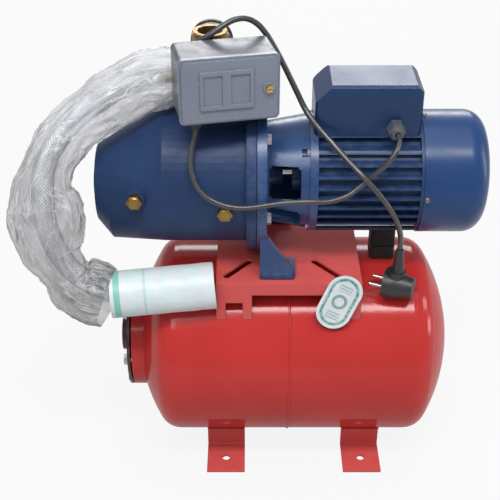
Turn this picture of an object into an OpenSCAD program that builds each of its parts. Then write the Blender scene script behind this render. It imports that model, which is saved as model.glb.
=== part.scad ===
// Booster pump set: a jet pump and its motor on a horizontal pressure tank.
// Millimetres, +Z up, X along the tank and pump axes, viewer on the -Y side.
// Origin: on the floor, at the centre of the four foot bolt holes.

/* [Tank] */
// Outside diameter of the tank shell
tank_d = 270; // [240:1:300]
// Length of the shell, dome to dome
tank_len = 430; // [400:1:520]
// Offset of the tank from the middle of the feet
tank_x = -3; // [-10:1:10]
// Thickness of the shell plate
tank_wall = 2; // [1.2:0.1:3]
// Crown radius of the domed ends
crown_r = 230; // [220:1:270]
// Knuckle radius of the domed ends
knuckle_r = 30; // [20:1:36]
// Height of the shell above the floor
ground_gap = 19; // [15:1:30]
// Offset of the weld seam from the middle
seam_x = -7; // [-30:1:30]
// Diameter of the neck ring and counter flange
neck_d = 146; // [140:1:160]
// Opening in the neck ring
neck_bore_d = 104; // [90:1:106]
// Length of the neck ring beyond the dome
neck_len = 9; // [6:1:14]
// Thickness of the counter flange plate
counter_t = 4; // [3:0.5:6]
// Diameter of the threaded boss
boss_d = 50; // [44:1:60]
// Length of the threaded boss
boss_len = 12; // [10:1:20]
// Bolts round the counter flange
flange_bolt_n = 6; // [4:1:8]
// Bolt circle of the counter flange
flange_pcd = 126; // [124:1:128]
// Thickness of the rubber bladder
bladder_wall = 2; // [1.5:0.5:3]

/* [Feet] */
// Width of each foot strip
foot_w = 53; // [40:1:60]
// Thickness of each foot strip
foot_t = 4; // [3:0.5:5]
// Distance between the feet along the tank
foot_spacing = 191; // [170:1:220]
// Distance between the front and back bolt holes
hole_pitch = 196; // [190:1:206]
// Distance from a bolt hole to the end of the foot
hole_edge = 26; // [20:1:30]
// Diameter of the foot bolt holes
foot_hole_d = 11; // [8:0.5:12]
// Distance from the middle to the upright of the foot
upright_y = 66; // [60:1:70]

/* [Platform] */
// Length of the platform
plat_len = 186; // [170:1:200]
// Width of the platform
plat_w = 196; // [190:1:204]
// Thickness of the platform sheet
plat_t = 3; // [2:0.5:4]
// Height of the platform top above the tank crest
plat_rise = 15; // [12:1:20]
// Offset of the platform and pump along the tank
plat_x = -12; // [-20:1:0]
// Depth of the folded lip
lip_h = 18; // [10:1:22]
// Width of the legs' tabs
tab_w = 46; // [40:1:52]
// Depth of the tabs above the legs
tab_h = 30; // [26:1:34]
// Width of a leg
leg_w = 12; // [9:1:14]

/* [Pump] */
// Height of the shaft above the platform
shaft_h = 110; // [106:1:120]
// Outside radius of the casing barrel
casing_r = 90; // [88:1:92]
// Wall of the casing
casing_wall = 7; // [5:0.5:9]
// Length of the casing, nose to flange
casing_len = 203; // [190:1:225]
// Radius of the casing flange
flange_r = 102; // [100:1:106]
// Thickness of the casing and bracket flanges
flange_t = 12; // [11:1:14]
// Bolts round the casing flange
casing_bolt_n = 6; // [4:2:8]
// Radius of the threaded ports' walls
port_r = 15.15; // [12:0.05:16]
// Thickness of the gasket
gasket_t = 1; // [0.5:0.5:2]
// Outside radius of the impeller
impeller_r = 62; // [56:1:64]
// Vanes of the impeller
vane_n = 7; // [5:1:9]

/* [Motor] */
// Length of the bracket between the pump and the motor
bracket_len = 75; // [74:1:84]
// Outside radius over the fins
motor_r = 77; // [75:1:79]
// Radius of the motor frame tube
frame_r = 68; // [66:1:69]
// Length of the motor frame
frame_len = 125; // [122:1:140]
// Pitch of the cooling fins
fin_pitch = 13.5; // [11:0.5:16]
// Thickness of a fin
fin_t = 3; // [2:0.5:4]
// Length of the fan cover
cover_len = 83; // [78:1:95]
// Corner radius of the fan cover
cover_round = 26; // [16:1:30]
// Blades of the fan
fan_blade_n = 8; // [6:1:10]
// Length of the terminal box
tbox_len = 130; // [120:1:140]
// Width of the terminal box
tbox_w = 76; // [70:1:82]
// Height of the terminal box top above the shaft
tbox_h = 131; // [126:1:136]
// Height of the terminal box joint above the shaft
tbox_joint = 90; // [88:1:94]

/* [Switch] */
// Width of the pressure switch box
switch_w = 116; // [104:1:120]
// Depth of the pressure switch box
switch_d = 61; // [58:1:68]
// Height of the pressure switch box
switch_h = 78; // [76:1:84]
// Angle of the switch about the fitting
switch_turn = 12; // [6:1:16]
// Wall of the switch box
switch_wall = 2.5; // [2:0.5:3]
// Diameter of the gauge case
gauge_d = 50; // [40:1:54]

/* [Hose and cords] */
// Diameter of the braided hose
hose_d = 28; // [26:1:30]
// Diameter of the mains cord
mains_d = 7; // [6:0.5:8]
// Diameter of the link cable
link_d = 6.5; // [6:0.5:7.5]
// Outside radius of the paper roll
roll_r = 30.5; // [29:0.5:32]
// Length of the paper roll
roll_len = 131; // [120:1:134]
// Length of the hang tag
tag_len = 76; // [60:1:84]
// Width of the hang tag
tag_w = 46; // [38:1:50]

/* [Hidden] */

// Clearances
weld_gap = 0.1;
slide_gap = 0.3;
bolt_gap = 0.2;
thread_gap = 0.15;
run_gap = 0.05;

// Levels and stations
tank_r = tank_d / 2;
tank_z = ground_gap + tank_r;
plat_z = tank_z + tank_r + plat_rise;
shaft_z = plat_z + shaft_h;
joint_x = plat_x - 41;
nose_x = joint_x - casing_len;
frame_x = joint_x + bracket_len;
shield_x = frame_x + frame_len;
shield_t = 12;
cover_x = shield_x + 4;
cover_end = cover_x + cover_len;

red = [0.75, 0.20, 0.19];
dark_red = [0.55, 0.13, 0.13];
blue = [0.13, 0.24, 0.43];
steel = [0.72, 0.74, 0.76];
brass = [0.80, 0.60, 0.28];
black = [0.08, 0.08, 0.09];
grey = [0.55, 0.58, 0.62];

// Helpers
module along_x(x = 0, y = 0, z = 0) { translate([x, y, z]) rotate([0, 90, 0]) children(); }
module along_y(x = 0, y = 0, z = 0) { translate([x, y, z]) rotate([-90, 0, 0]) children(); }
module on_shaft(x) { along_x(x, 0, shaft_z) children(); }
module ring_of(n, r, start = 0) {
    for (i = [0:n - 1]) rotate([0, 0, start + i * 360 / n]) translate([r, 0, 0]) children();
}
module tube(ro, ri, h) {
    difference() {
        cylinder(r = ro, h = h, $fn = 96);
        translate([0, 0, -1]) cylinder(r = ri, h = h + 2, $fn = 96);
    }
}
module hexagon(af, h) { cylinder(d = af / cos(30), h = h, $fn = 6); }
// Hexagon bolt: head above the origin, shank below it
module hex_bolt(d, len) {
    hexagon(1.65 * d, 0.65 * d);
    translate([0, 0, -len]) cylinder(d = d, h = len + 0.01, $fn = 32);
}
module hex_nut(d) {
    difference() {
        hexagon(1.65 * d, 0.8 * d);
        translate([0, 0, -1]) cylinder(d = d + 2 * thread_gap, h = 2 * d, $fn = 32);
    }
}
module washer(d) { tube(1.05 * d, d / 2 + bolt_gap, 0.2 * d); }
// Box with its vertical edges rounded, standing on z = 0
module round_box(x, y, h, r) {
    linear_extrude(h) rounded_plate(x, y, r);
}
module rounded_plate(x, y, r) {
    union() {
        square([x - 2 * r, y], center = true);
        square([x, y - 2 * r], center = true);
        for (sx = [-1, 1], sy = [-1, 1])
            translate([sx * (x / 2 - r), sy * (y / 2 - r)]) circle(r = r, $fn = 32);
    }
}

// Sweep of a round section along a list of points
function unit(v) = v / norm(v);
function tangent(p, i) = unit(p[min(i + 1, len(p) - 1)] - p[max(i - 1, 0)]);
// Frame that turns with the route and never twists
function next_side(side, t) = unit(side - (side * t) * t);
function sides(p, i = 0, side = [0, 0, 1]) =
    let (s = next_side(side, tangent(p, i)))
    i == len(p) - 1 ? [s] : concat([s], sides(p, i + 1, s));
function ring_points(p, r, n, start) =
    let (s = sides(p, 0, start))
    [for (i = [0:len(p) - 1], k = [0:n - 1])
        let (t = tangent(p, i), w = cross(t, s[i]), a = 360 * k / n)
        p[i] + r[i] * (cos(a) * s[i] + sin(a) * w)];
function tube_faces(m, n) = concat(
    [[for (k = [0:n - 1]) k]],
    [for (i = [0:m - 2], k = [0:n - 1]) each [
        [i * n + k, (i + 1) * n + k, (i + 1) * n + (k + 1) % n],
        [i * n + k, (i + 1) * n + (k + 1) % n, i * n + (k + 1) % n]]],
    [[for (k = [n - 1:-1:0]) (m - 1) * n + k]]);
// p: centre points, r: radius at each point, n: sides of the section
module sweep(p, r, n, start = [0, 0, 1]) {
    polyhedron(points = ring_points(p, r, n, start), faces = tube_faces(len(p), n), convexity = 8);
}
function same(p, r) = [for (q = p) r];

// Tank
dome_angle = asin((tank_r - knuckle_r) / (crown_r - knuckle_r));
crown_x = tank_len / 2 - crown_r;
knuckle_x = crown_x + (crown_r - knuckle_r) * cos(dome_angle);
function dome_arc(cut) = concat(
    [for (i = [0:8]) let (a = dome_angle * i / 8)
        [crown_x + (crown_r - cut) * cos(a), (crown_r - cut) * sin(a)]],
    [for (i = [1:5]) let (a = dome_angle + (90 - dome_angle) * i / 5)
        [knuckle_x + (knuckle_r - cut) * cos(a), tank_r - knuckle_r + (knuckle_r - cut) * sin(a)]]);
function flip(p) = [for (i = [len(p) - 1:-1:0]) [-p[i][0], p[i][1]]];
module on_tank(x) { along_x(tank_x + x, 0, tank_z) children(); }
module shell_solid(cut) {
    on_tank(0) rotate_extrude($fn = 96)
        polygon([for (p = concat(dome_arc(cut), flip(dome_arc(cut)))) [p[1], p[0]]]);
}
ring_r = neck_d / 2;
pocket_d = 34;
pocket_h = 18;
valve_x = tank_len / 2 - pocket_h;
dome_at_ring = -crown_x - sqrt(crown_r * crown_r - ring_r * ring_r);
ring_x = dome_at_ring - neck_len - 8;
bladder_lip = 2;
counter_x = ring_x - bladder_lip;
seam_bead_r = 1.6;
module tank_shell() {
    color(red) difference() {
        union() {
            shell_solid(0);
            on_tank(seam_x) rotate_extrude($fn = 96)
                translate([tank_r, 0]) circle(r = seam_bead_r, $fn = 24);
            on_tank(ring_x) cylinder(r = ring_r, h = dome_at_ring + 12 - ring_x, $fn = 96);
        }
        shell_solid(tank_wall);
        on_tank(ring_x - 1) cylinder(d = neck_bore_d, h = 60, $fn = 96);
        on_tank(ring_x - 1) ring_of(flange_bolt_n, flange_pcd / 2, 30)
            cylinder(d = 8 + 2 * thread_gap, h = 13, $fn = 32);
        on_tank(valve_x) cylinder(d = pocket_d, h = 30, $fn = 64);
        on_tank(tank_len / 2 - 30) cylinder(r = 4 + thread_gap, h = 30, $fn = 32);
    }
    // pressed pocket that holds the air valve
    color(red) on_tank(valve_x) difference() {
        union() {
            translate([0, 0, -tank_wall]) cylinder(d = pocket_d, h = tank_wall, $fn = 64);
            translate([0, 0, -tank_wall]) tube(pocket_d / 2 + 1.9, pocket_d / 2 - 0.1, pocket_h + tank_wall - 1.2);
        }
        translate([0, 0, -5]) cylinder(r = 4 + thread_gap, h = 10, $fn = 32);
    }
}
module tank_bladder() {
    neck = neck_bore_d / 2 - 2;
    belly = tank_r - 26;
    color(black) on_tank(0) difference() {
        rotate_extrude($fn = 64) bladder_outline(neck, belly, 0);
        rotate_extrude($fn = 64) bladder_outline(neck, belly, bladder_wall);
        translate([0, 0, ring_x - 5]) cylinder(r = neck - bladder_wall, h = 30, $fn = 64);
    }
}
module bladder_outline(neck, belly, cut) {
    lip = cut > 0 ? 0 : flange_pcd / 2 - 6 - neck;
    polygon(concat(
        [[0, counter_x + cut * 10], [neck + lip - cut, counter_x + cut * 10],
         [neck + lip - cut, ring_x + cut * 9], [neck - cut, ring_x + cut * 9],
         [neck - cut, ring_x + 40]],
        [for (a = [-60:15:60]) [belly - 30 + (30 - cut) * cos(a), ring_x + 110 + (40 - cut) * sin(a)]],
        [for (a = [0:15:90]) [(belly - 2 - cut) * cos(a), tank_len / 2 - 160 + (90 - cut) * sin(a)]]));
}
module counter_flange() {
    color(dark_red) difference() {
        union() {
            on_tank(counter_x - counter_t) cylinder(r = ring_r, h = counter_t, $fn = 96);
            on_tank(counter_x - counter_t - boss_len)
                cylinder(d = boss_d, h = boss_len + 1, $fn = 64);
        }
        on_tank(counter_x - counter_t - boss_len - 1)
            cylinder(r = port_r, h = boss_len + counter_t + 2, $fn = 64);
        on_tank(counter_x - counter_t - 1) ring_of(flange_bolt_n, flange_pcd / 2, 30)
            cylinder(d = 8 + 2 * bolt_gap, h = counter_t + 2, $fn = 32);
    }
}
module flange_bolts() {
    color(steel) translate([tank_x + counter_x - counter_t, 0, tank_z]) rotate([0, -90, 0])
        ring_of(flange_bolt_n, flange_pcd / 2, 30) hex_bolt(8, counter_t + bladder_lip + 11);
}
module air_valve() {
    color(brass) on_tank(valve_x) difference() {
        union() {
            translate([0, 0, -8]) cylinder(r = 4, h = 9, $fn = 32);
            translate([0, 0, 0.2]) hexagon(13, 4);
            translate([0, 0, 4]) cylinder(r = 3.9, h = 9, $fn = 32);
        }
        translate([0, 0, 2]) cylinder(r = 2.4, h = 20, $fn = 32);
    }
}
module valve_cap() {
    color(black) on_tank(valve_x + 4.4) difference() {
        union() {
            cylinder(r = 8, h = 8, $fn = 48);
            translate([0, 0, 8]) cylinder(r1 = 8, r2 = 6.5, h = 4, $fn = 48);
            ring_of(12, 8) cylinder(r = 0.9, h = 7, $fn = 16);
        }
        translate([0, 0, -1]) cylinder(r = 3.9 + thread_gap, h = 10.5, $fn = 32);
    }
}

// Feet: one bent strip each, seated under the shell
cradle_in = tank_r + weld_gap;
cradle_out = cradle_in + foot_t;
cradle_a = asin((upright_y + 4) / cradle_out);
module foot_outline() {
    union() {
        difference() {
            circle(r = cradle_out, $fn = 128);
            circle(r = cradle_in, $fn = 128);
            translate([-200, -cradle_in * cos(cradle_a)]) square([400, 400]);
        }
        for (s = [-1, 1]) scale_x(s) {
            polygon([[upright_y, -tank_z], [upright_y + foot_t, -tank_z],
                [cradle_out * sin(cradle_a) + 0.5, -cradle_out * cos(cradle_a) + 4],
                [cradle_out * sin(cradle_a) - foot_t, -cradle_out * cos(cradle_a)]]);
            translate([upright_y, -tank_z]) square([hole_pitch / 2 + hole_edge - upright_y, foot_t]);
            // inside fillet at the bend
            difference() {
                translate([upright_y + foot_t - 0.5, -tank_z + foot_t - 0.5]) square(4);
                translate([upright_y + foot_t + 3.5, -tank_z + foot_t + 3.5]) circle(r = 4, $fn = 32);
            }
        }
    }
}
module scale_x(s) { if (s > 0) children(); else mirror([1, 0]) children(); }
module foot(x) {
    color(red) difference() {
        translate([x - foot_w / 2, 0, tank_z]) rotate([90, 0, 90]) linear_extrude(foot_w) foot_outline();
        for (s = [-1, 1]) translate([x, s * hole_pitch / 2, -1])
            cylinder(d = foot_hole_d, h = foot_t + 2, $fn = 48);
    }
}
module foot_left() { foot(-foot_spacing / 2); }
module foot_right() { foot(foot_spacing / 2); }

// Platform: a folded sheet whose legs stand on the shell
bolt_y = 66;
bolt_x = joint_x + 35;
slot_w = 9;
slot_len = 54;
slot_x = plat_x - 8;
slot_dx = 57;
slot_y = 63;
module platform() {
    color(red) difference() {
        union() {
            translate([plat_x, 0, plat_z - plat_t]) round_box(plat_len, plat_w, plat_t, 3);
            for (s = [-1, 1]) translate([0, s * (plat_w / 2 - plat_t / 2), 0]) platform_side();
        }
        for (s = [-1, 1]) translate([bolt_x, s * bolt_y, plat_z - plat_t - 1])
            cylinder(d = 8 + 2 * bolt_gap, h = plat_t + 2, $fn = 32);
        for (sx = [-1, 1], sy = [-1, 1])
            translate([slot_x + sx * slot_dx, sy * slot_y, plat_z - plat_t - 1]) rotate([0, 0, sx * sy * 50])
                linear_extrude(plat_t + 2) slot(slot_len, slot_w);
        along_x(plat_x - plat_len, 0, tank_z) cylinder(r = tank_r + weld_gap, h = 2 * plat_len, $fn = 128);
    }
}
module slot(len, w) {
    union() {
        square([len - w, w], center = true);
        for (s = [-1, 1]) translate([s * (len - w) / 2, 0]) circle(d = w, $fn = 32);
    }
}
module platform_side() {
    leg_h = plat_z - tank_z - sqrt(pow(tank_r, 2) - pow(plat_w / 2, 2));
    rotate([90, 0, 0]) translate([plat_x, plat_z, -plat_t / 2]) linear_extrude(plat_t) union() {
        translate([-plat_len / 2, -lip_h]) square([plat_len, lip_h - 0.5]);
        for (s = [-1, 1]) scale_x(s) {
            translate([plat_len / 2 - tab_w, -tab_h]) square([tab_w, tab_h - 0.5]);
            for (x = [plat_len / 2 - tab_w, plat_len / 2 - leg_w])
                translate([x, -leg_h]) square([leg_w, leg_h - 1]);
        }
    }
}
base_t = 9;
module pump_bolts() {
    color(steel) for (s = [-1, 1]) translate([bolt_x, s * bolt_y, 0]) {
        translate([0, 0, plat_z + base_t]) washer(8);
        translate([0, 0, plat_z + base_t + 1.6]) hex_bolt(8, base_t + plat_t + 11);
        translate([0, 0, plat_z - plat_t - 7]) hex_nut(8);
    }
}

// Pump casing: a barrel drawn out to a long nose, hollow, with two ports
nose_len = 22;
nose_r = 50;
nose_drop = 16;
throat_r = 62;
throat_drop = casing_r - throat_r;
taper_len = 88;
outlet_x = joint_x - 56;
boss_r = 24;
outlet_z = shaft_z + casing_r + 8;
port_depth = 20;
module casing_form(cut, end_x) {
    hull() {
        on_shaft(nose_x + taper_len) cylinder(r = casing_r - cut, h = end_x - nose_x - taper_len, $fn = 64);
        along_x(nose_x + nose_len - 4 + cut, 0, shaft_z - throat_drop) cylinder(r = throat_r - cut, h = 4, $fn = 48);
        along_x(nose_x + cut, 0, shaft_z - nose_drop) cylinder(r = nose_r - cut, h = 2, $fn = 48);
    }
}
plug_spots = [[-149, -2, 84], [-39, 6, 91]];
// Each plug: station from the joint, angle below level, distance out to its face
module plug_place(p) { translate([joint_x + p[0], 0, shaft_z]) rotate([90 + p[1], 0, 0]) children(); }
module pump_casing() {
    color(blue) difference() {
        union() {
            casing_form(0, joint_x - gasket_t - 2);
            on_shaft(joint_x - gasket_t - flange_t) cylinder(r = flange_r, h = flange_t, $fn = 96);
            translate([outlet_x, 0, shaft_z]) cylinder(r = boss_r, h = casing_r + 8, $fn = 64);
            along_x(nose_x - 4, 0, shaft_z - nose_drop) cylinder(r = 27, h = 12, $fn = 64);
            for (p = plug_spots) plug_place(p) cylinder(r = 12, h = p[2], $fn = 48);
        }
        difference() {
            casing_form(casing_wall, joint_x);
            along_x(nose_x - 4, 0, shaft_z - nose_drop) cylinder(r = 24, h = 40, $fn = 64);
        }
        along_x(nose_x - 5, 0, shaft_z - nose_drop) cylinder(r = port_r, h = port_depth + 1, $fn = 64);
        along_x(nose_x, 0, shaft_z - nose_drop) cylinder(r = port_r - 2, h = 50, $fn = 64);
        translate([outlet_x, 0, shaft_z + 40]) cylinder(r = port_r, h = casing_r, $fn = 64);
        on_shaft(joint_x - gasket_t - flange_t) cylinder(r = casing_r - casing_wall, h = flange_t + 1, $fn = 96);
        on_shaft(joint_x - gasket_t - flange_t + 2) ring_of(casing_bolt_n, bolt_ring_r, 40)
            cylinder(d = 8 + 2 * thread_gap, h = flange_t, $fn = 32);
        for (p = plug_spots) plug_place(p) translate([0, 0, 40]) cylinder(r = 6.5, h = 60, $fn = 48);
    }
}
module brass_plug(r) {
    translate([0, 0, r + 0.2]) hexagon(17, 7);
    translate([0, 0, r - 9]) cylinder(r = 6.5 - thread_gap, h = 9.5, $fn = 32);
    translate([0, 0, r + 7]) cylinder(r1 = 8, r2 = 6.5, h = 1.5, $fn = 32);
}
module brass_plugs() {
    color(brass) for (p = plug_spots) plug_place(p) brass_plug(p[2]);
}
bolt_ring_r = (casing_r + flange_r) / 2 - 1;
module casing_gasket() {
    color(black) on_shaft(joint_x - gasket_t) difference() {
        tube(flange_r - 1, casing_r - casing_wall, gasket_t);
        translate([0, 0, -1]) ring_of(casing_bolt_n, bolt_ring_r, 40)
            cylinder(d = 8 + 2 * bolt_gap, h = gasket_t + 2, $fn = 32);
    }
}
module casing_bolts() {
    color(steel) on_shaft(joint_x + flange_t) ring_of(casing_bolt_n, bolt_ring_r, 40)
        hex_bolt(8, flange_t + gasket_t + flange_t - 3);
}

// Ejector: nozzle and venturi behind the suction port
ejector_z = shaft_z;
ejector_end = joint_x - 44;
module ejector() {
    color([0.25, 0.27, 0.30]) along_x(0, 0, ejector_z) difference() {
        union() {
            translate([0, 0, nose_x + 38]) cylinder(r = 22, h = 8, $fn = 48);
            translate([0, 0, nose_x + 44]) cylinder(r1 = 20, r2 = 12, h = 30, $fn = 48);
            translate([0, 0, nose_x + 72]) cylinder(r = 12, h = 40, $fn = 48);
            translate([0, 0, nose_x + 110]) cylinder(r1 = 12, r2 = 19, h = ejector_end - nose_x - 110, $fn = 48);
            translate([0, 0, ejector_end - 1]) cylinder(r = 26 - slide_gap, h = 5, $fn = 64);
        }
        translate([0, 0, nose_x + 37]) cylinder(r = 6, h = 14, $fn = 32);
        translate([0, 0, nose_x + 50]) cylinder(r1 = 15, r2 = 6, h = 26, $fn = 32);
        translate([0, 0, nose_x + 75]) cylinder(r = 6, h = 40, $fn = 32);
        translate([0, 0, nose_x + 114]) cylinder(r1 = 6, r2 = 15, h = ejector_end - nose_x - 109, $fn = 32);
        for (a = [0:60:300]) rotate([0, 0, a]) translate([9, -3, nose_x + 54]) cube([20, 6, 10]);
    }
}

// Diffuser cup round the impeller, with guide vanes on its outer rim
diff_depth = 42;
diff_x = joint_x - diff_depth;
diff_len = diff_depth - slide_gap;
diff_r = casing_r - casing_wall - 3;
cup_r = impeller_r + 4;
module diffuser() {
    color([0.30, 0.32, 0.34]) on_shaft(diff_x) union() {
        rotate_extrude($fn = 96) polygon([[26, -2], [30, -2], [30, 0], [cup_r + 4, 0],
            [cup_r + 4, diff_len], [cup_r, diff_len], [cup_r, 4], [26, 4]]);
        linear_extrude(diff_len) for (i = [0:8]) rotate(i * 40)
            polygon([[cup_r + 2, -1.5], [diff_r, 5], [diff_r, 8], [cup_r + 2, 1.5]]);
    }
}

// Impeller: two shrouds with curved vanes between them
imp_x = joint_x - 30;
imp_w = 16;
eye_r = 19;
bore_imp = 6;
module vane() {
    intersection() {
        difference() {
            translate([impeller_r * 0.35, impeller_r * 0.42]) circle(r = impeller_r * 0.66, $fn = 64);
            translate([impeller_r * 0.35, impeller_r * 0.42]) circle(r = impeller_r * 0.66 - 2.2, $fn = 64);
        }
        difference() {
            circle(r = impeller_r - 0.5, $fn = 64);
            circle(r = eye_r - 1, $fn = 64);
            translate([-impeller_r, 0]) square(2 * impeller_r);
        }
    }
}
module impeller() {
    color(brass) on_shaft(imp_x) difference() {
        union() {
            tube(impeller_r, eye_r, 2.5);
            translate([0, 0, -5]) tube(eye_r + 3, eye_r, 6);
            translate([0, 0, imp_w - 3]) cylinder(r = impeller_r, h = 3, $fn = 96);
            translate([0, 0, 3]) cylinder(r = 12, h = imp_w + 2, $fn = 48);
            linear_extrude(imp_w) for (i = [0:vane_n - 1]) rotate(i * 360 / vane_n) vane();
        }
        translate([0, 0, -10]) cylinder(r = bore_imp + run_gap, h = 60, $fn = 48);
    }
}
module impeller_nut() {
    color(steel) on_shaft(imp_x - 5.2) difference() {
        hexagon(17, 8);
        translate([0, 0, -1]) cylinder(r = bore_imp + run_gap, h = 12, $fn = 48);
    }
}

// Seal, shaft, rotor and bearings
shaft_r = 7;
journal_r = 8.5;
seal_x = imp_x + imp_w + 5.3;
seat_x = seal_x + 9;
brg_w = 12;
brg_r = 20;
brg_front = frame_x - 14;
brg_rear = shield_x;
fan_x = shield_x + shield_t + 22;
module seal_rotating() {
    color([0.35, 0.35, 0.36]) on_shaft(seal_x) difference() {
        union() {
            cylinder(r = 12, h = 4, $fn = 48);
            for (k = [0:2]) translate([0, 0, 1 + k * 2.2]) rotate_extrude($fn = 48)
                translate([11.4, 0]) circle(r = 1, $fn = 16);
            translate([0, 0, 3.9]) cylinder(r = 10.6, h = 4.9, $fn = 48);
        }
        translate([0, 0, -2]) cylinder(r = shaft_r + run_gap, h = 20, $fn = 48);
    }
}
module seal_seat() {
    color([0.9, 0.9, 0.86]) on_shaft(seat_x) difference() {
        cylinder(r = 13, h = 7, $fn = 48);
        translate([0, 0, -1]) cylinder(r = shaft_r + 1, h = 12, $fn = 48);
    }
}
module shaft() {
    color(steel) {
        on_shaft(imp_x - 9) cylinder(r = bore_imp, h = imp_w + 14.1, $fn = 48);
        on_shaft(imp_x + imp_w + 5.1) cylinder(r = shaft_r, h = brg_front - imp_x - imp_w - 9, $fn = 48);
        on_shaft(brg_front - 4) cylinder(r = journal_r, h = brg_rear + brg_w - brg_front + 6, $fn = 48);
        on_shaft(brg_rear + brg_w + 1) cylinder(r = shaft_r, h = fan_x + 22 - brg_rear - brg_w - 1, $fn = 48);
    }
}
stack_x = frame_x + 30;
stack_len = frame_len - 60;
module rotor_core() {
    color([0.5, 0.5, 0.52]) on_shaft(stack_x - 8) difference() {
        union() {
            translate([0, 0, 8]) cylinder(r = 31, h = stack_len, $fn = 96);
            cylinder(r = 28, h = stack_len + 16, $fn = 64);
            ring_of(8, 24) translate([-1, -1.5, -4]) cube([3, 3, stack_len + 24]);
        }
        translate([0, 0, -6]) cylinder(r = journal_r + run_gap, h = stack_len + 40, $fn = 64);
    }
}
module each_bearing() { for (x = [brg_front, brg_rear]) on_shaft(x) children(); }
race_r = (brg_r + journal_r) / 2;
ball_r = 3.2;
module race(ro, ri) {
    difference() {
        tube(ro, ri, brg_w);
        translate([0, 0, brg_w / 2]) rotate_extrude($fn = 64)
            translate([race_r, 0]) circle(r = ball_r + 0.35, $fn = 32);
    }
}
module bearing_inner_rings() { color(steel) each_bearing() race(race_r - 2.2, journal_r + run_gap); }
module bearing_outer_rings() { color(steel) each_bearing() race(brg_r, race_r + 2.2); }
module bearing_balls() {
    color([0.85, 0.86, 0.88]) each_bearing() translate([0, 0, brg_w / 2]) {
        ring_of(8, race_r) sphere(r = ball_r, $fn = 32);
        rotate_extrude($fn = 64) translate([race_r - 0.6, -1.2]) square([1.2, 2.4]);
    }
}
stator_r = frame_r - 8;
module stator_core() {
    color([0.45, 0.45, 0.47]) on_shaft(stack_x) difference() {
        cylinder(r = stator_r - weld_gap, h = stack_len, $fn = 96);
        translate([0, 0, -1]) cylinder(r = 31.4, h = stack_len + 2, $fn = 96);
        translate([0, 0, -1]) ring_of(24, 31) translate([-1, -1, 0]) cube([3, 2, stack_len + 2]);
    }
}
wind_len = 18;
wind_r = 36;
wind_t = 18;
wind_bulge = 1.5;
module stator_windings() {
    color([0.66, 0.33, 0.18]) for (x = [stack_x - wind_len, stack_x + stack_len + weld_gap]) on_shaft(x)
        rotate_extrude($fn = 64) union() {
            translate([wind_r, 0]) square([wind_t, wind_len - weld_gap]);
            translate([wind_r - wind_bulge, 4]) square([wind_t + 2 * wind_bulge, wind_len - 8]);
        }
}

// Bracket: seal plate, open lantern, bearing housing and two feet in one casting
lantern_r = 64;
lantern_wall = 9;
hub_r = brg_r + 6;
pad_len = 45;
pad_w = 40;
pad_y = 89;
web_t = 8;
lantern_len = bracket_len - flange_t;
// Windows of the lantern: angle above level and width, the low one on the near side alone
windows = [[13, 44], [-33, 34]];
module motor_bracket() {
    color(blue) difference() {
        union() {
            on_shaft(joint_x) cylinder(r = flange_r, h = flange_t, $fn = 96);
            on_shaft(joint_x + flange_t - 1)
                cylinder(r1 = lantern_r, r2 = motor_r - 3, h = lantern_len - 7, $fn = 96);
            on_shaft(frame_x - 10) cylinder(r = motor_r, h = 10, $fn = 96);
            on_shaft(frame_x - 0.5) cylinder(r = stator_r - 2, h = 6, $fn = 96);
            for (s = [-1, 1]) {
                translate([joint_x + 4 + pad_len / 2, s * (pad_y - pad_w / 2), plat_z])
                    round_box(pad_len, pad_w, base_t, 5);
                translate([0, s * (pad_y - 5) + web_t / 2, 0]) rotate([90, 0, 0]) linear_extrude(web_t) bracket_rib();
            }
            translate([joint_x + 4, 0, 0]) rotate([90, 0, 90]) linear_extrude(flange_t - 4) bracket_apron();
        }
        // cavity of the lantern round the bearing hub
        on_shaft(joint_x + flange_t) difference() {
            cylinder(r1 = lantern_r - lantern_wall, r2 = motor_r - 3 - lantern_wall, h = lantern_len - 12, $fn = 96);
            translate([0, 0, lantern_len - 30]) cylinder(r = hub_r, h = 40, $fn = 64);
            translate([0, 0, -1]) cylinder(r1 = 24, r2 = 17, h = 22, $fn = 64);
        }
        for (s = [0, 1], w = s == 0 ? windows : [windows[0]]) translate([joint_x + flange_t + 3, 0, shaft_z]) mirror([0, s, 0])
            rotate([-w[0], 0, 0]) translate([0, -90, -w[1] / 2]) lantern_window(lantern_len - 24, w[1], 50);
        // shaft hole, seal pocket and bearing seat
        on_shaft(joint_x - 1) cylinder(r = shaft_r + 2, h = bracket_len, $fn = 48);
        on_shaft(seat_x - 0.3) cylinder(r = 13 + thread_gap, h = 7.3, $fn = 48);
        on_shaft(joint_x - 1) cylinder(r = 15, h = seat_x - joint_x + 1, $fn = 48);
        on_shaft(brg_front) cylinder(r = brg_r + thread_gap, h = 40, $fn = 64);
        // bolt holes and tie rod holes
        on_shaft(joint_x - 1) ring_of(casing_bolt_n, bolt_ring_r, 40)
            cylinder(d = 8 + 2 * bolt_gap, h = flange_t + 2, $fn = 32);
        on_shaft(frame_x - 11) ring_of(4, rod_r, 45) cylinder(r = 2.5 + bolt_gap, h = 14, $fn = 24);
        on_shaft(frame_x - 20) ring_of(4, rod_r, 45) cylinder(r = 5, h = 10.4, $fn = 32);
        for (s = [-1, 1]) translate([bolt_x, s * bolt_y, plat_z - 1])
            cylinder(d = 8 + 2 * bolt_gap, h = base_t + 2, $fn = 32);
    }
}
module lantern_window(l, w, h) {
    translate([3, 0, 0]) cube([l - 6, h, w]);
    translate([0, 0, 3]) cube([l, h, w - 6]);
}
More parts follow.
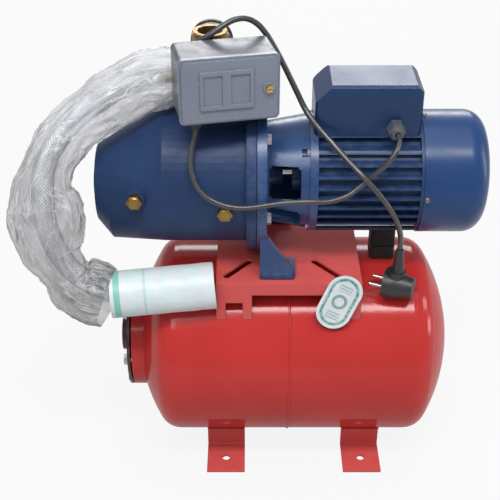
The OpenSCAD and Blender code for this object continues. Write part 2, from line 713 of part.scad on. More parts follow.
module bracket_apron() {
    difference() {
        polygon([[-pad_y + 1, plat_z], [pad_y - 1, plat_z], [pad_y - 1, shaft_z - 60],
            [flange_r - 12, shaft_z - 25], [-flange_r + 12, shaft_z - 25], [-pad_y + 1, shaft_z - 60]]);
        polygon([[-pad_y + pad_w - 4, plat_z - 1], [pad_y - pad_w + 4, plat_z - 1],
            [pad_y - pad_w - 16, plat_z + 24], [-pad_y + pad_w + 16, plat_z + 24]]);
    }
}
module bracket_rib() {
    polygon([[joint_x + 5, plat_z], [joint_x + pad_len + 2, plat_z], [joint_x + pad_len + 2, plat_z + base_t],
        [joint_x + 30, plat_z + 36], [joint_x + flange_t, shaft_z - 46], [joint_x + 5, shaft_z - 46]]);
}

// Motor frame with horizontal fins on its sides
rod_r = 72;
module fin_outline() {
    difference() {
        union() {
            circle(r = frame_r, $fn = 96);
            intersection() {
                circle(r = motor_r, $fn = 96);
                union() {
                    for (k = [-5:5]) translate([-motor_r - 5, k * fin_pitch - fin_t / 2])
                        square([2 * motor_r + 10, fin_t]);
                    for (k = [-3:3]) translate([k * fin_pitch - fin_t / 2, -motor_r - 5])
                        square([fin_t, motor_r]);
                }
            }
        }
        circle(r = stator_r, $fn = 96);
        for (a = [45:90:315]) rotate(a) translate([rod_r, 0]) circle(r = 3.4, $fn = 32);
    }
}
module motor_frame() {
    color(blue) translate([frame_x, 0, shaft_z]) rotate([90, 0, 90]) linear_extrude(frame_len) fin_outline();
}
module rear_shield() {
    color(blue) on_shaft(shield_x) difference() {
        union() {
            cylinder(r = motor_r - slide_gap, h = shield_t, $fn = 96);
            translate([0, 0, -5]) cylinder(r = stator_r - 2, h = 6, $fn = 96);
            translate([0, 0, shield_t - 1]) cylinder(r = brg_r + 6, h = 7, $fn = 64);
        }
        translate([0, 0, -6]) cylinder(r = brg_r + thread_gap, h = brg_w + 6.2, $fn = 64);
        translate([0, 0, -6]) cylinder(r = shaft_r + 2, h = 40, $fn = 48);
        translate([0, 0, -1]) ring_of(4, rod_r, 45) cylinder(r = 2.5 + bolt_gap, h = shield_t + 2, $fn = 24);
        translate([0, 0, -6]) tube(stator_r - 5, brg_r + 6, 8);
        translate([0, 0, cover_x + 4 - shield_x]) for (a = [0:90:270]) rotate([0, 0, a])
            translate([motor_r - 10, 0, 0]) rotate([0, 90, 0]) cylinder(r = 2 + thread_gap, h = 14, $fn = 24);
    }
}
module tie_rods() {
    color(steel) on_shaft(frame_x - 10) ring_of(4, rod_r, 45) {
        translate([0, 0, -3.9]) hexagon(8, 4);
        translate([0, 0, -0.5]) cylinder(r = 2.5, h = frame_len + 10.9 + shield_t, $fn = 24);
        translate([0, 0, frame_len + 10.2 + shield_t]) hexagon(8, 4);
    }
}

// Fan and its cover
fan_r = motor_r - 15;
module cooling_fan() {
    color([0.12, 0.12, 0.13]) on_shaft(fan_x) difference() {
        union() {
            cylinder(r = 16, h = 18, $fn = 48);
            cylinder(r = 40, h = 2.5, $fn = 64);
            for (i = [0:fan_blade_n - 1]) rotate([0, 0, i * 360 / fan_blade_n])
                translate([12, -1.2, 0]) linear_extrude(20) polygon([[0, 0], [fan_r - 12, 0], [fan_r - 12, 2.4], [0, 2.4]]);
        }
        translate([0, 0, -1]) cylinder(r = shaft_r + run_gap, h = 30, $fn = 48);
    }
}
cover_wall = 1.5;
module cover_profile(cut) {
    r = motor_r + 1.5 - cut;
    k = cover_round - cut;
    h = cover_len - cut;
    union() {
        square([r, h - k]);
        square([r - k, h]);
        translate([r - k, h - k]) circle(r = k, $fn = 64);
    }
}
module fan_cover() {
    color(blue) on_shaft(cover_x) difference() {
        rotate_extrude($fn = 96) intersection() { cover_profile(0); square(300); }
        translate([0, 0, -0.01]) rotate_extrude($fn = 96) intersection() { cover_profile(cover_wall); square(300); }
        // air slots in four quarters of the end
        for (q = [0:3], k = [0:4]) rotate([0, 0, q * 90]) translate([5 + k * 9, 5, cover_len - 4])
            cube([5, slot_reach(k), 8]);
        for (a = [0:90:270]) rotate([0, 0, a]) translate([motor_r - 6, 0, 4]) rotate([0, 90, 0])
            cylinder(r = 2.2, h = 14, $fn = 24);
    }
}
function slot_reach(k) = sqrt(pow(motor_r - cover_round + 2, 2) - pow(10 + k * 9, 2)) - 5;
tbox_x = frame_x - 5;
tbox_mid = tbox_x + tbox_len / 2;
module motor_screws() {
    color(steel) on_shaft(cover_x + 4) for (a = [0:90:270]) rotate([0, 0, a]) translate([motor_r + 1.6, 0, 0])
        rotate([0, 90, 0]) {
            cylinder(r1 = 4, r2 = 2.6, h = 2.2, $fn = 32);
            translate([0, 0, -8]) cylinder(r = 2, h = 8.1, $fn = 24);
        }
}

// Terminal box: base saddled on the frame, domed cover with a chamfered end
module tbox_side(h0, h1, c) {
    polygon([[tbox_x, h0], [tbox_x + tbox_len, h0], [tbox_x + tbox_len, h1 - 8], [tbox_x + tbox_len - 8, h1],
        [tbox_x + c, h1], [tbox_x, h1 - c]]);
}
tbox_t = 3.5;
// Height of the frame's crown over the shaft, and the box's floor above it
crown_h = max(frame_r, min(5 * fin_pitch + fin_t / 2, motor_r));
box_floor = shaft_z + max(crown_h + 3, frame_r + 8);
module terminal_box_base() {
    color(blue) difference() {
        translate([tbox_mid, 0, shaft_z + frame_r - 12]) round_box(tbox_len, tbox_w, tbox_joint - frame_r + 12, 6);
        translate([tbox_mid, 0, box_floor]) round_box(tbox_len - 2 * tbox_t, tbox_w - 2 * tbox_t, tbox_joint, 4);
        on_shaft(tbox_x - 1) cylinder(r = motor_r + weld_gap, h = frame_x - tbox_x + 1 + weld_gap, $fn = 96);
        intersection() {
            on_shaft(tbox_x - 5) cylinder(r = motor_r + weld_gap, h = tbox_len + 10, $fn = 96);
            translate([tbox_x - 6, -motor_r, 0]) cube([tbox_len + 12, 2 * motor_r, shaft_z + crown_h + weld_gap]);
        }
        along_y(gland_x, -tbox_w / 2 - 1, gland_z) cylinder(r = 8 + thread_gap, h = 12, $fn = 48);
    }
}
cover_top = shaft_z + tbox_h;
module terminal_box_cover() {
    inset = 2.6;
    color(blue) difference() {
        intersection() {
            translate([0, 100, 0]) rotate([90, 0, 0]) linear_extrude(200) tbox_side(shaft_z + tbox_joint, cover_top, 20);
            translate([tbox_mid, 0, 0]) rotate([90, 0, 90]) translate([0, 0, -tbox_len / 2 - 1]) linear_extrude(tbox_len + 2)
                tbox_section(0);
            translate([tbox_mid, 0, shaft_z]) round_box(tbox_len, tbox_w, 200, 6);
        }
        intersection() {
            translate([0, 100, 0]) rotate([90, 0, 0]) linear_extrude(200) offset(delta = -inset)
                tbox_side(shaft_z + tbox_joint - 20, cover_top, 20);
            translate([tbox_mid, 0, 0]) rotate([90, 0, 90]) translate([0, 0, -tbox_len / 2 - 1]) linear_extrude(tbox_len + 2)
                tbox_section(inset);
        }
    }
}
module tbox_section(cut) {
    w = tbox_w / 2 - cut;
    h = cover_top - cut;
    polygon([[-w, shaft_z + tbox_joint - 30], [w, shaft_z + tbox_joint - 30], [w, h - 7], [w - 2, h - 2], [w - 7, h],
        [-w + 7, h], [-w + 2, h - 2], [-w, h - 7]]);
}
cap_r = 18;
cap_len = 66;
cap_x = tbox_x + 24;
cap_neck = 6;
module run_capacitor() {
    cap_z = box_floor + slide_gap + cap_r;
    color([0.92, 0.92, 0.90]) {
        along_x(cap_x, 4, cap_z) cylinder(r = cap_r, h = cap_len, $fn = 64);
        along_x(cap_x + cap_len - 0.1, 4, cap_z) cylinder(r = 12, h = cap_neck, $fn = 48);
    }
}
gland_x = tbox_x + 98;
gland_z = shaft_z + 79;
gland_len = 22;
// Cable gland: thread behind the origin, nut and dome in front of it
module gland(r, len, hole) {
    difference() {
        union() {
            translate([0, 0, -6]) cylinder(r = 8, h = 6.5, $fn = 48);
            translate([0, 0, 0.2]) hexagon(2 * r - 2, 5);
            translate([0, 0, 5]) cylinder(r = r - 2.2, h = len - 10, $fn = 48);
            translate([0, 0, 6.5]) hexagon(2 * r - 3.5, len - 13);
            translate([0, 0, len - 7]) cylinder(r1 = r - 2.4, r2 = r - 4.5, h = 7, $fn = 48);
        }
        translate([0, 0, -8]) cylinder(r = hole, h = len + 20, $fn = 48);
    }
}
module motor_gland() {
    color(grey) translate([gland_x, -tbox_w / 2, gland_z]) rotate([90, 0, 0])
        gland(11, gland_len, link_d / 2 + 0.2);
}
foot_x = 115;
module motor_foot() {
    color(black) difference() {
        translate([foot_x, 0, tank_z + tank_r - 4]) round_box(32, 32, plat_rise + shaft_h - motor_r + 10, 5);
        along_x(foot_x - 30, 0, tank_z) cylinder(r = tank_r + slide_gap, h = 60, $fn = 96);
        on_shaft(foot_x - 30) cylinder(r = motor_r + slide_gap, h = 60, $fn = 96);
        translate([foot_x, 0, plat_z + 9]) for (s = [-1, 1]) translate([0, s * 17, 0]) cube([34, 8, 12], center = true);
    }
}

// Five-way fitting on the outlet of the pump
fit_x = outlet_x;
fit_z = outlet_z;
fit_h = 90;
hose_z = fit_z + 28;
small_z = fit_z + 58;
arm = 30;
module five_way_fitting() {
    color(brass) difference() {
        union() {
            translate([fit_x, 0, fit_z - 14]) cylinder(r = port_r - thread_gap, h = 15, $fn = 64);
            translate([fit_x, 0, fit_z + 0.1]) cylinder(d = 44, h = 9, $fn = 8);
            translate([fit_x, 0, fit_z + 8]) cylinder(r = 19, h = fit_h - 22, $fn = 64);
            translate([fit_x, 0, fit_z + fit_h - 18]) cylinder(d = 45, h = 14, $fn = 8);
            translate([fit_x, 0, fit_z + fit_h - 5]) cylinder(r = 20.5, h = 5, $fn = 64);
            along_x(fit_x - arm, 0, hose_z) cylinder(r = 16, h = arm, $fn = 64);
            translate([fit_x, 0, small_z]) rotate([0, 0, switch_turn]) rotate([90, 0, 0]) cylinder(r = 10, h = arm - 5, $fn = 48);
            along_y(fit_x, 0, small_z) cylinder(r = 10, h = arm - 5, $fn = 48);
        }
        translate([fit_x, 0, fit_z - 15]) cylinder(r = 12, h = fit_h, $fn = 48);
        translate([fit_x, 0, fit_z + fit_h - 20]) cylinder(r = port_r, h = 21, $fn = 64);
        along_x(fit_x - arm - 1, 0, hose_z) cylinder(r = 11, h = arm, $fn = 48);
        translate([fit_x, 0, small_z]) rotate([0, 0, switch_turn]) rotate([90, 0, 0]) cylinder(r = 5.7, h = arm, $fn = 48);
        along_y(fit_x, 0, small_z) cylinder(r = 5.7, h = arm, $fn = 48);
    }
}

// Pressure switch, in a frame turned about the fitting's axis
box_back = -31;
box_x0 = -52;
box_z0 = fit_z + 12;
lid_t = 9;
screw_x = box_x0 + switch_w - 13;
screw_z = box_z0 + switch_h / 2;
screw_r = 2.2;
module switch_frame() { translate([fit_x, 0, 0]) rotate([0, 0, switch_turn]) children(); }
module switch_block(y0, y1, inset, r) {
    w = switch_w - 2 * inset;
    h = switch_h - 2 * inset;
    translate([box_x0 + switch_w / 2, y1, box_z0 + switch_h / 2]) rotate([90, 0, 0]) round_box(w, h, y1 - y0, r);
}
module switch_body() {
    front = box_back - switch_d + lid_t;
    color(grey) switch_frame() difference() {
        union() {
            switch_block(front, box_back, 0, 6);
            translate([0, box_back - 1, small_z]) rotate([-90, 0, 0]) hexagon(22, 6.7);
            translate([0, box_back, small_z]) rotate([-90, 0, 0]) cylinder(r = 5.7 - thread_gap, h = 15, $fn = 48);
        }
        difference() {
            switch_block(front - 1, box_back - switch_wall, switch_wall, 4);
            translate([screw_x, 0, screw_z]) rotate([90, 0, 0]) translate([0, 0, -box_back])
                cylinder(r = screw_r + 3, h = switch_d - lid_t - 1, $fn = 48);
        }
        translate([screw_x, front + 12, screw_z]) rotate([90, 0, 0]) cylinder(r = screw_r + thread_gap, h = 20, $fn = 32);
        translate([0, box_back - switch_wall - 1, small_z]) rotate([-90, 0, 0]) cylinder(r = 3, h = 30, $fn = 32);
        for (g = glands) gland_place(g) translate([0, 0, -7]) cylinder(r = 8 + thread_gap, h = 10, $fn = 48);
    }
}
// The glands: mains at the back, link below, and one blanked off below
glands = [[32, box_back, box_z0 + 20, 0], [-31, -65, box_z0, 1], [53, -58, box_z0, 1]];
module gland_place(g) {
    translate([g[0], g[1], g[2]]) rotate([g[3] == 0 ? -90 : 180, 0, 0]) children();
}
module switch_glands() {
    color(black) switch_frame() {
        gland_place(glands[0]) gland(10.5, 22, mains_d / 2 + 0.2);
        gland_place(glands[1]) gland(10.5, 18, link_d / 2 + 0.2);
        gland_place(glands[2]) gland(10.5, 14, 2);
    }
}
module switch_cover() {
    front = box_back - switch_d + lid_t;
    mid = [box_x0 + switch_w / 2, front, box_z0 + switch_h / 2];
    color(grey) switch_frame() difference() {
        union() {
            switch_block(front - lid_t + 3, front - 0.2, -0.6, 6);
            switch_block(front - lid_t, front - 0.2, 2.4, 5);
            translate(mid + [-4, -lid_t - 1.2, 2]) cube([62, 3, 46], center = true);
            translate(mid + [switch_w / 2 - 13, -lid_t + 2, 0]) rotate([90, 0, 0]) cylinder(r = 7, h = 4, $fn = 48);
        }
        for (x = [-20, 12]) translate(mid + [x, -lid_t - 2, 2]) cube([22, 2.6, 36], center = true);
        switch_block(front - lid_t + 3, front + 1, switch_wall + 0.5, 4);
        translate(mid + [switch_w / 2 - 13, 5, 0]) rotate([90, 0, 0]) cylinder(r = screw_r + bolt_gap, h = 40, $fn = 32);
    }
}
module cover_screw() {
    front = box_back - switch_d + lid_t;
    color(brass) switch_frame() translate([screw_x, front - lid_t - 2.2, screw_z]) rotate([90, 0, 0])
        difference() {
            union() {
                hexagon(8, 4);
                translate([0, 0, -18]) cylinder(r = screw_r, h = 18.5, $fn = 32);
            }
            translate([-5, -0.6, 2.4]) cube([10, 1.2, 3]);
        }
}
lever_z = small_z - 18;
lever_y = box_back - 15;
spring_y = lever_y - 26;
module switch_plunger() {
    color(steel) switch_frame() {
        disc_y = box_back - switch_wall - 2 - slide_gap;
        translate([0, disc_y, small_z]) rotate([-90, 0, 0]) cylinder(r = 12, h = 2, $fn = 48);
        translate([0, lever_y + 3 + slide_gap, small_z]) rotate([-90, 0, 0])
            cylinder(r = 4, h = disc_y - lever_y - 3 - slide_gap + 0.5, $fn = 32);
    }
}
module switch_lever() {
    color(steel) switch_frame() difference() {
        union() {
            translate([-12, lever_y, lever_z]) cube([24, 3, 26]);
            translate([-12, spring_y - 10, lever_z]) cube([24, lever_y - spring_y + 13, 3]);
            translate([-13.7, lever_y + 1.5, lever_z + 1.5]) rotate([0, 90, 0]) cylinder(r = 4, h = 29.4, $fn = 32);
        }
        translate([-20, lever_y + 1.5, lever_z + 1.5]) rotate([0, 90, 0]) cylinder(r = 2 + run_gap, h = 40, $fn = 32);
        translate([0, spring_y, lever_z - 1]) cylinder(r = 3.5, h = 6, $fn = 32);
    }
}
spring_len = lever_z - (box_z0 + switch_wall) - 0.6;
module range_spring() {
    turns = 4;
    steps = 10;
    wire = 1.1;
    n = turns * steps;
    route = [for (i = [0:n]) [6 * cos(360 * i / steps), 6 * sin(360 * i / steps), wire + (spring_len - 2 * wire) * i / n]];
    color(steel) switch_frame() translate([0, spring_y, box_z0 + switch_wall + 0.3]) sweep(route, same(route, wire), 6);
}
module contact_block() {
    wall_y = box_back - switch_wall - weld_gap;
    color([0.15, 0.15, 0.16]) switch_frame() difference() {
            union() {
                translate([16, wall_y - 32, lever_z - 3]) cube([27, 26, 24]);
                translate([19, wall_y - 7, lever_z + 4]) cube([20, 7, 17]);
                // stand of the pivot pin, and the pin itself
                translate([-17, wall_y - 18, lever_z - 3.5]) cube([3, 18, 12]);
                translate([-15, lever_y + 1.5, lever_z + 1.5]) rotate([0, 90, 0]) cylinder(r = 2, h = 32, $fn = 32);
            }
            for (k = [0:2]) translate([18.5 + k * 8, wall_y - 33, lever_z + 1]) cube([6, 12, 16]);
        }
}

// Pressure gauge at the back of the fitting
gauge_r = gauge_d / 2;
gauge_y = arm + 5;
gauge_t = 20;
module gauge_case() {
    color([0.10, 0.10, 0.11]) along_y(fit_x, gauge_y, small_z) difference() {
        union() {
            cylinder(r = gauge_r, h = gauge_t, $fn = 96);
            translate([0, 0, gauge_t - 5]) cylinder(r = gauge_r + 1.5, h = 5, $fn = 96);
            translate([0, 0, -9.7]) hexagon(14, 10.2);
            translate([0, 0, -19]) cylinder(r = 5.7 - thread_gap, h = 12, $fn = 32);
        }
        translate([0, 0, 8]) cylinder(r = gauge_r - 2, h = 30, $fn = 96);
        translate([0, 0, -20]) cylinder(r = 2, h = 18, $fn = 24);
    }
}
module gauge_pointer() {
    color(dark_red) along_y(fit_x, gauge_y + 11, small_z) {
        cylinder(r = 2.4, h = 2, $fn = 32);
        rotate([0, 0, 45]) linear_extrude(1) polygon([[-6, -1.6], [gauge_r - 6, -0.4], [gauge_r - 6, 0.4], [-6, 1.6]]);
        translate([0, 0, -2.7]) cylinder(r = 0.8, h = 3, $fn = 24);
    }
}
module gauge_glass() {
    color([0.85, 0.92, 0.95, 0.4]) along_y(fit_x, gauge_y + gauge_t - 3.5, small_z)
        cylinder(r = gauge_r - 2 - weld_gap, h = 2, $fn = 96);
}

// Braided hose: from the fitting, round in a loop, and into the paper roll
nut_x = fit_x - arm - 0.2;
nut_len = 14;
ferrule_len = 18;
hose_x0 = nut_x - nut_len - ferrule_len;
roll_at = [-107.5, -88, 294.8];
roll_turn = 5.5;
roll_dip = 2.6;
hose_route = [[hose_x0 - weld_gap, 0, hose_z], [-180, 0, hose_z], [-201, -1, 537], [-227, -6, 527],
    [-246, -11, 516], [-266, -17, 504], [-286, -26, 488], [-303, -38, 468], [-314, -50, 445], [-317, -61, 421],
    [-317, -70, 397], [-313, -78, 371], [-303, -84, 344], [-286, -90, 320], [-264, -94, 303], [-237, -98, 293],
    [-208, -98, 290], [-191, -96, 291], [-181.3, -95.1, 291.4]];
// Film sleeve: centre and radius at each ring
film_route = [[-152, 0, 541, 27], [-172, 0, 541, 28], [-196, -3, 534, 30], [-227, -8, 519, 31],
    [-256, -15, 504, 33], [-280, -26, 486, 34], [-297, -40, 465, 36], [-306, -54, 441, 38], [-312, -64, 413, 43],
    [-311, -72, 384, 44], [-309, -77, 356, 38], [-303, -82, 330, 33], [-289, -88, 307, 32], [-270, -93, 293, 33],
    [-252, -97, 289, 29], [-239, -98, 289, 24], [-222, -98, 289, 24], [-200, -97, 290, 24]];
module braided_hose() {
    color([0.75, 0.73, 0.80]) sweep(hose_route, same(hose_route, hose_d / 2), 12);
}
// Frame of the paper roll: +Z runs along it, away from the platform
module on_roll(t) { translate(roll_at) rotate([0, -90 - roll_dip, roll_turn]) translate([0, 0, t]) children(); }
module hose_nuts() {
    color(steel) {
        along_x(nut_x, 0, hose_z) rotate([0, 180, 0]) nut_and_ferrule();
        on_roll(74 - ferrule_len - nut_len) nut_and_ferrule();
    }
}
// Nut open at z = 0, ferrule towards +Z
module nut_and_ferrule() {
    difference() {
        union() {
            hexagon(38, nut_len);
            translate([0, 0, nut_len - 0.1]) cylinder(r = hose_d / 2 + 2.2, h = ferrule_len + 0.1, $fn = 64);
        }
        translate([0, 0, -1]) cylinder(r = 16 + thread_gap, h = nut_len - 2, $fn = 64);
        translate([0, 0, -1]) cylinder(r = 10, h = nut_len + ferrule_len + 2, $fn = 48);
    }
}
// Loose film sleeve round the hose
film_t = 1.2;
module hose_film() {
    p = [for (q = film_route) [q[0], q[1], q[2]]];
    last = len(p) - 1;
    step_out = [[12, 0, 2], [12, 0, 0]];
    inner = concat([p[0] + step_out[0]], [for (i = [1:last - 1]) p[i]], [p[last] + step_out[1]]);
    color([0.86, 0.88, 0.90, 0.6]) difference() {
        sweep(p, [for (q = film_route) q[3]], 12);
        sweep(inner, [for (q = film_route) q[3] - film_t], 12);
    }
}
module paper_roll() {
    color([0.93, 0.96, 0.96]) on_roll(0) tube(roll_r, roll_r - 2, roll_len);
}

// Mains cord and its moulded right-angle plug
plug_at = [127, -80, 290];
plug_turn = -22;
plug_body_r = 19;
boot_len = 36;
mains_route = [[-76, -2, 544], [-77, 5, 544], [-79, 14, 545], [-85, 23, 547], [-96, 29, 550], [-109, 31, 554],
    [-121, 28, 559], [-131, 20, 565], [-137, 7, 571], [-138, -7, 579], [-132, -19, 588], [-121, -26, 598],
    [-107, -27, 607], [-94, -23, 615], [-81, -16, 620], [-67, -10, 620], [-54, -7, 613], [-43, -8, 601],
    [-33, -10, 585], [-23, -13, 567], [-14, -18, 550], [-5, -24, 533], [3, -31, 518], [12, -40, 506],
    [24, -49, 494], [38, -60, 482], [53, -75, 470], [72, -93, 456], [90, -101, 438], [106, -100, 416],
    [118, -93, 392], [125, -84, 369], [127, -80, 356], [127, -80, 345.1]];
module mains_cord() { color(black) sweep(mains_route, same(mains_route, mains_d / 2), 10, [1, 0, 0]); }
module mains_plug() {
    color(black) translate(plug_at) {
        rotate([0, 0, plug_turn]) {
            rotate([0, 90, 0]) translate([0, 0, -16]) cylinder(r = plug_body_r, h = 12, $fn = 64);
            rotate([0, 90, 0]) translate([0, 0, -4.1]) cylinder(r1 = plug_body_r, r2 = 13, h = 26, $fn = 64);
            translate([-2, 0, 0]) cylinder(r = 12, h = 22, $fn = 48);
        }
        translate([0, 0, 19]) cylinder(r1 = 8.5, r2 = mains_d / 2 + 1, h = boot_len, $fn = 48);
    }
}
module plug_pins() {
    color(steel) translate(plug_at) rotate([0, 0, plug_turn]) for (s = [-1, 1])
        translate([-16, s * 9.5, 0]) rotate([0, -90, 0]) {
            cylinder(r = 2.4, h = 18, $fn = 32);
            translate([0, 0, 17.9]) cylinder(r1 = 2.4, r2 = 1.4, h = 1.2, $fn = 32);
        }
}

// Link cable between the switch and the motor
link_exit = [gland_x, -tbox_w / 2 - gland_len, gland_z];
link_end = [fit_x, 0, 0] + [-31 * cos(switch_turn) + 65 * sin(switch_turn),
    -31 * sin(switch_turn) - 65 * cos(switch_turn), box_z0 - 18];
link_route = [link_exit, [116, -69, 491], [114, -77, 488], [110, -84, 482], [102, -88, 471], [92, -87, 460],
    [81, -87, 449], [70, -89, 439], [57, -94, 431], [43, -99, 427], [27, -103, 426], [8, -106, 428],
    [-22, -109, 428], [-46, -110, 425], [-70, -110, 422], [-91, -108, 424], [-108, -105, 430], [-120, -101, 439],
    [-128, -95, 450], [-132, -88, 463], [-132, -81, 476], [-130, -75, 488], [-127, -71, 498], link_end];
module link_cable() { color([0.20, 0.20, 0.19]) sweep(link_route, same(link_route, link_d / 2), 8, [1, 0, 0]); }

// Hang tag leaning on the front edge of the platform
tag_t = 1;
tag_lean = 12;
tag_tilt = 25;
module hang_tag() {
    color([0.93, 0.96, 0.95]) translate([52, -plat_w / 2 - 6.1, plat_z - 24]) rotate([90 - tag_lean, 0, 0]) rotate([0, 0, -tag_tilt])
        translate([0, 0, -tag_t / 2]) difference() {
            linear_extrude(tag_t) rotate(90) slot(tag_len, tag_w);
            translate([0, tag_len / 2 - 7, -1]) cylinder(r = 2.5, h = tag_t + 2, $fn = 32);
        }
}

tank_shell();
tank_bladder();
counter_flange();
flange_bolts();
air_valve();
valve_cap();
foot_left();
foot_right();
platform();
pump_bolts();
pump_casing();
casing_gasket();
casing_bolts();
brass_plugs();
ejector();
diffuser();
impeller();
impeller_nut();
seal_rotating();
seal_seat();
motor_bracket();
shaft();
rotor_core();
bearing_inner_rings();
bearing_outer_rings();
bearing_balls();
stator_core();
stator_windings();
motor_frame();
rear_shield();
tie_rods();
cooling_fan();
fan_cover();
motor_screws();
terminal_box_base();
terminal_box_cover();
run_capacitor();
motor_gland();
motor_foot();
five_way_fitting();
switch_body();
switch_cover();
cover_screw();
switch_plunger();
switch_lever();
range_spring();
contact_block();
switch_glands();
gauge_case();
gauge_pointer();
gauge_glass();
braided_hose();
hose_nuts();
hose_film();
paper_roll();
mains_cord();
mains_plug();
plug_pins();
link_cable();
hang_tag();
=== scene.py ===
import math

import bmesh
import bpy
from mathutils import Matrix, Vector, noise


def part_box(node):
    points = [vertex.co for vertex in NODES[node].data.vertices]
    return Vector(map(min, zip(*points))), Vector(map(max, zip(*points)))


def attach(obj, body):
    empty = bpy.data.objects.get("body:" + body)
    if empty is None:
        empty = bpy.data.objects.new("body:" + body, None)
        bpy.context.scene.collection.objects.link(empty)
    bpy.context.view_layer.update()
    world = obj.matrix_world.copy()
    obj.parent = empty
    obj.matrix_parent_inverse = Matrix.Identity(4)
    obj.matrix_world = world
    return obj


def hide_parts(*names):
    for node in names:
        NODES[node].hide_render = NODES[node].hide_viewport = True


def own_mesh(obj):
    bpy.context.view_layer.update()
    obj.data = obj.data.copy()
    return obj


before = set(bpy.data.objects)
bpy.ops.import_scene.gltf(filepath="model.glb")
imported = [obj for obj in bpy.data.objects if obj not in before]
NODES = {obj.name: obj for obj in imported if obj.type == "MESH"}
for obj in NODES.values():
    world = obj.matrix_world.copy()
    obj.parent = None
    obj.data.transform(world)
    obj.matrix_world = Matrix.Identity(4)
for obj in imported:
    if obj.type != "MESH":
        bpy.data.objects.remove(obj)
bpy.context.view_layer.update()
scene = bpy.context.scene


# Helpers: shader nodes

class Tree:
    """Small helper round one material's node tree."""

    def __init__(self, name):
        self.mat = bpy.data.materials.new(name)
        self.mat.use_nodes = True
        self.tree = self.mat.node_tree
        self.tree.nodes.clear()
        self.out = self.add("ShaderNodeOutputMaterial")
        self.bsdf = self.add("ShaderNodeBsdfPrincipled")
        self.link(self.bsdf.outputs[0], self.out.inputs[0])
        self.coord = self.add("ShaderNodeTexCoord")

    def add(self, kind, **values):
        node = self.tree.nodes.new(kind)
        for key, value in values.items():
            setattr(node, key, value)
        return node

    def link(self, a, b):
        self.tree.links.new(a, b)

    def feed(self, node, socket, value):
        """A number goes on the socket, an output is linked to it."""
        if hasattr(value, "links"):
            self.link(value, node.inputs[socket])
        else:
            node.inputs[socket].default_value = value

    def noise(self, scale, detail=3, rough=0.55, vector=None, distortion=0.0):
        node = self.add("ShaderNodeTexNoise")
        self.link(vector or self.coord.outputs["Object"], node.inputs["Vector"])
        node.inputs["Scale"].default_value = scale
        node.inputs["Detail"].default_value = detail
        node.inputs["Roughness"].default_value = rough
        node.inputs["Distortion"].default_value = distortion
        return node.outputs[0]

    def ramp(self, value, low, high, a=0.0, b=1.0):
        node = self.add("ShaderNodeMapRange")
        self.feed(node, "Value", value)
        node.inputs["From Min"].default_value = low
        node.inputs["From Max"].default_value = high
        node.inputs["To Min"].default_value = a
        node.inputs["To Max"].default_value = b
        return node.outputs[0]

    def math(self, op, a, b=0.0):
        node = self.add("ShaderNodeMath", operation=op)
        self.feed(node, 0, a)
        self.feed(node, 1, b)
        return node.outputs[0]

    def mix(self, factor, a, b):
        node = self.add("ShaderNodeMix", data_type="RGBA")
        self.feed(node, 0, factor)
        self.feed(node, 6, a if hasattr(a, "links") else (*a, 1))
        self.feed(node, 7, b if hasattr(b, "links") else (*b, 1))
        return node.outputs[2]

    def split(self, vector):
        node = self.add("ShaderNodeSeparateXYZ")
        self.link(vector, node.inputs[0])
        return node.outputs

    def bump(self, height, strength, distance, normal=None):
        node = self.add("ShaderNodeBump")
        self.link(height, node.inputs["Height"])
        node.inputs["Strength"].default_value = strength
        node.inputs["Distance"].default_value = distance
        if normal:
            self.link(normal, node.inputs["Normal"])
        return node.outputs[0]

    def round_edges(self, radius):
        node = self.add("ShaderNodeBevel", samples=4)
        node.inputs["Radius"].default_value = radius
        return node.outputs[0]

    def set(self, **values):
        for key, value in values.items():
            self.feed(self.bsdf, key.replace("_", " "), value)


def coated(name, base, rough=0.35, metal=0.0, spread=0.12, blotch=6.0, grain=500.0, depth=0.0004,
           strength=0.15, edge=0.0008, coat=0.0, coat_rough=0.15, wear=0.0,
           wear_colour=(0.5, 0.5, 0.5), spec=0.5):
    """A paint, plastic or metal surface with blotches, grain, soft edges and a little wear.

    spread and blotch say how far and how finely its tone varies. grain, depth and strength are
    its bump. edge is the radius of its soft edges in metres, wear how much wear_colour they show.
    """
    t = Tree(name)
    dark = tuple(c * (1 - spread) for c in base)
    light = tuple(min(c * (1 + spread) + 0.002, 1) for c in base)
    colour = t.mix(t.ramp(t.noise(blotch, 4), 0.3, 0.7), dark, light)
    if wear:
        geometry = t.add("ShaderNodeNewGeometry")
        edges = t.ramp(geometry.outputs["Pointiness"], 0.53, 0.6)
        worn = t.math("MULTIPLY", edges, t.ramp(t.noise(90, 3), 0.4, 0.65))
        colour = t.mix(t.math("MULTIPLY", worn, wear), colour, wear_colour)
    t.set(Base_Color=colour, Metallic=metal, Coat_Weight=coat, Coat_Roughness=coat_rough,
          Specular_IOR_Level=spec)
    gloss = t.noise(blotch * 5, 3)
    t.set(Roughness=t.ramp(gloss, 0.3, 0.7, max(rough - 0.06, 0.03), min(rough + 0.08, 1)))
    t.set(Normal=t.bump(t.noise(grain, 2), strength, depth, t.round_edges(edge) if edge else None))
    return t.mat


# Helpers: meshes

def smooth_route(points, n):
    """Catmull-Rom curve through the points, n steps in each span."""
    p = [Vector(q) for q in points]
    made = []
    for i in range(len(p) - 1):
        a, b, c, d = p[max(i - 1, 0)], p[i], p[i + 1], p[min(i + 2, len(p) - 1)]
        for k in range(n):
            t = k / n
            made.append(0.5 * ((2 * b) + (c - a) * t + (2 * a - 5 * b + 4 * c - d) * t * t
                               + (3 * b - a - 3 * c + d) * t ** 3))
    made.append(p[-1])
    return made


def side_frames(points):
    """Side and cross directions along a route, without twist."""
    frames = []
    side = Vector((0, 0, 1))
    for i in range(len(points)):
        t = (points[min(i + 1, len(points) - 1)] - points[max(i - 1, 0)]).normalized()
        side = (side - t * side.dot(t)).normalized()
        frames.append((side, t.cross(side)))
    return frames


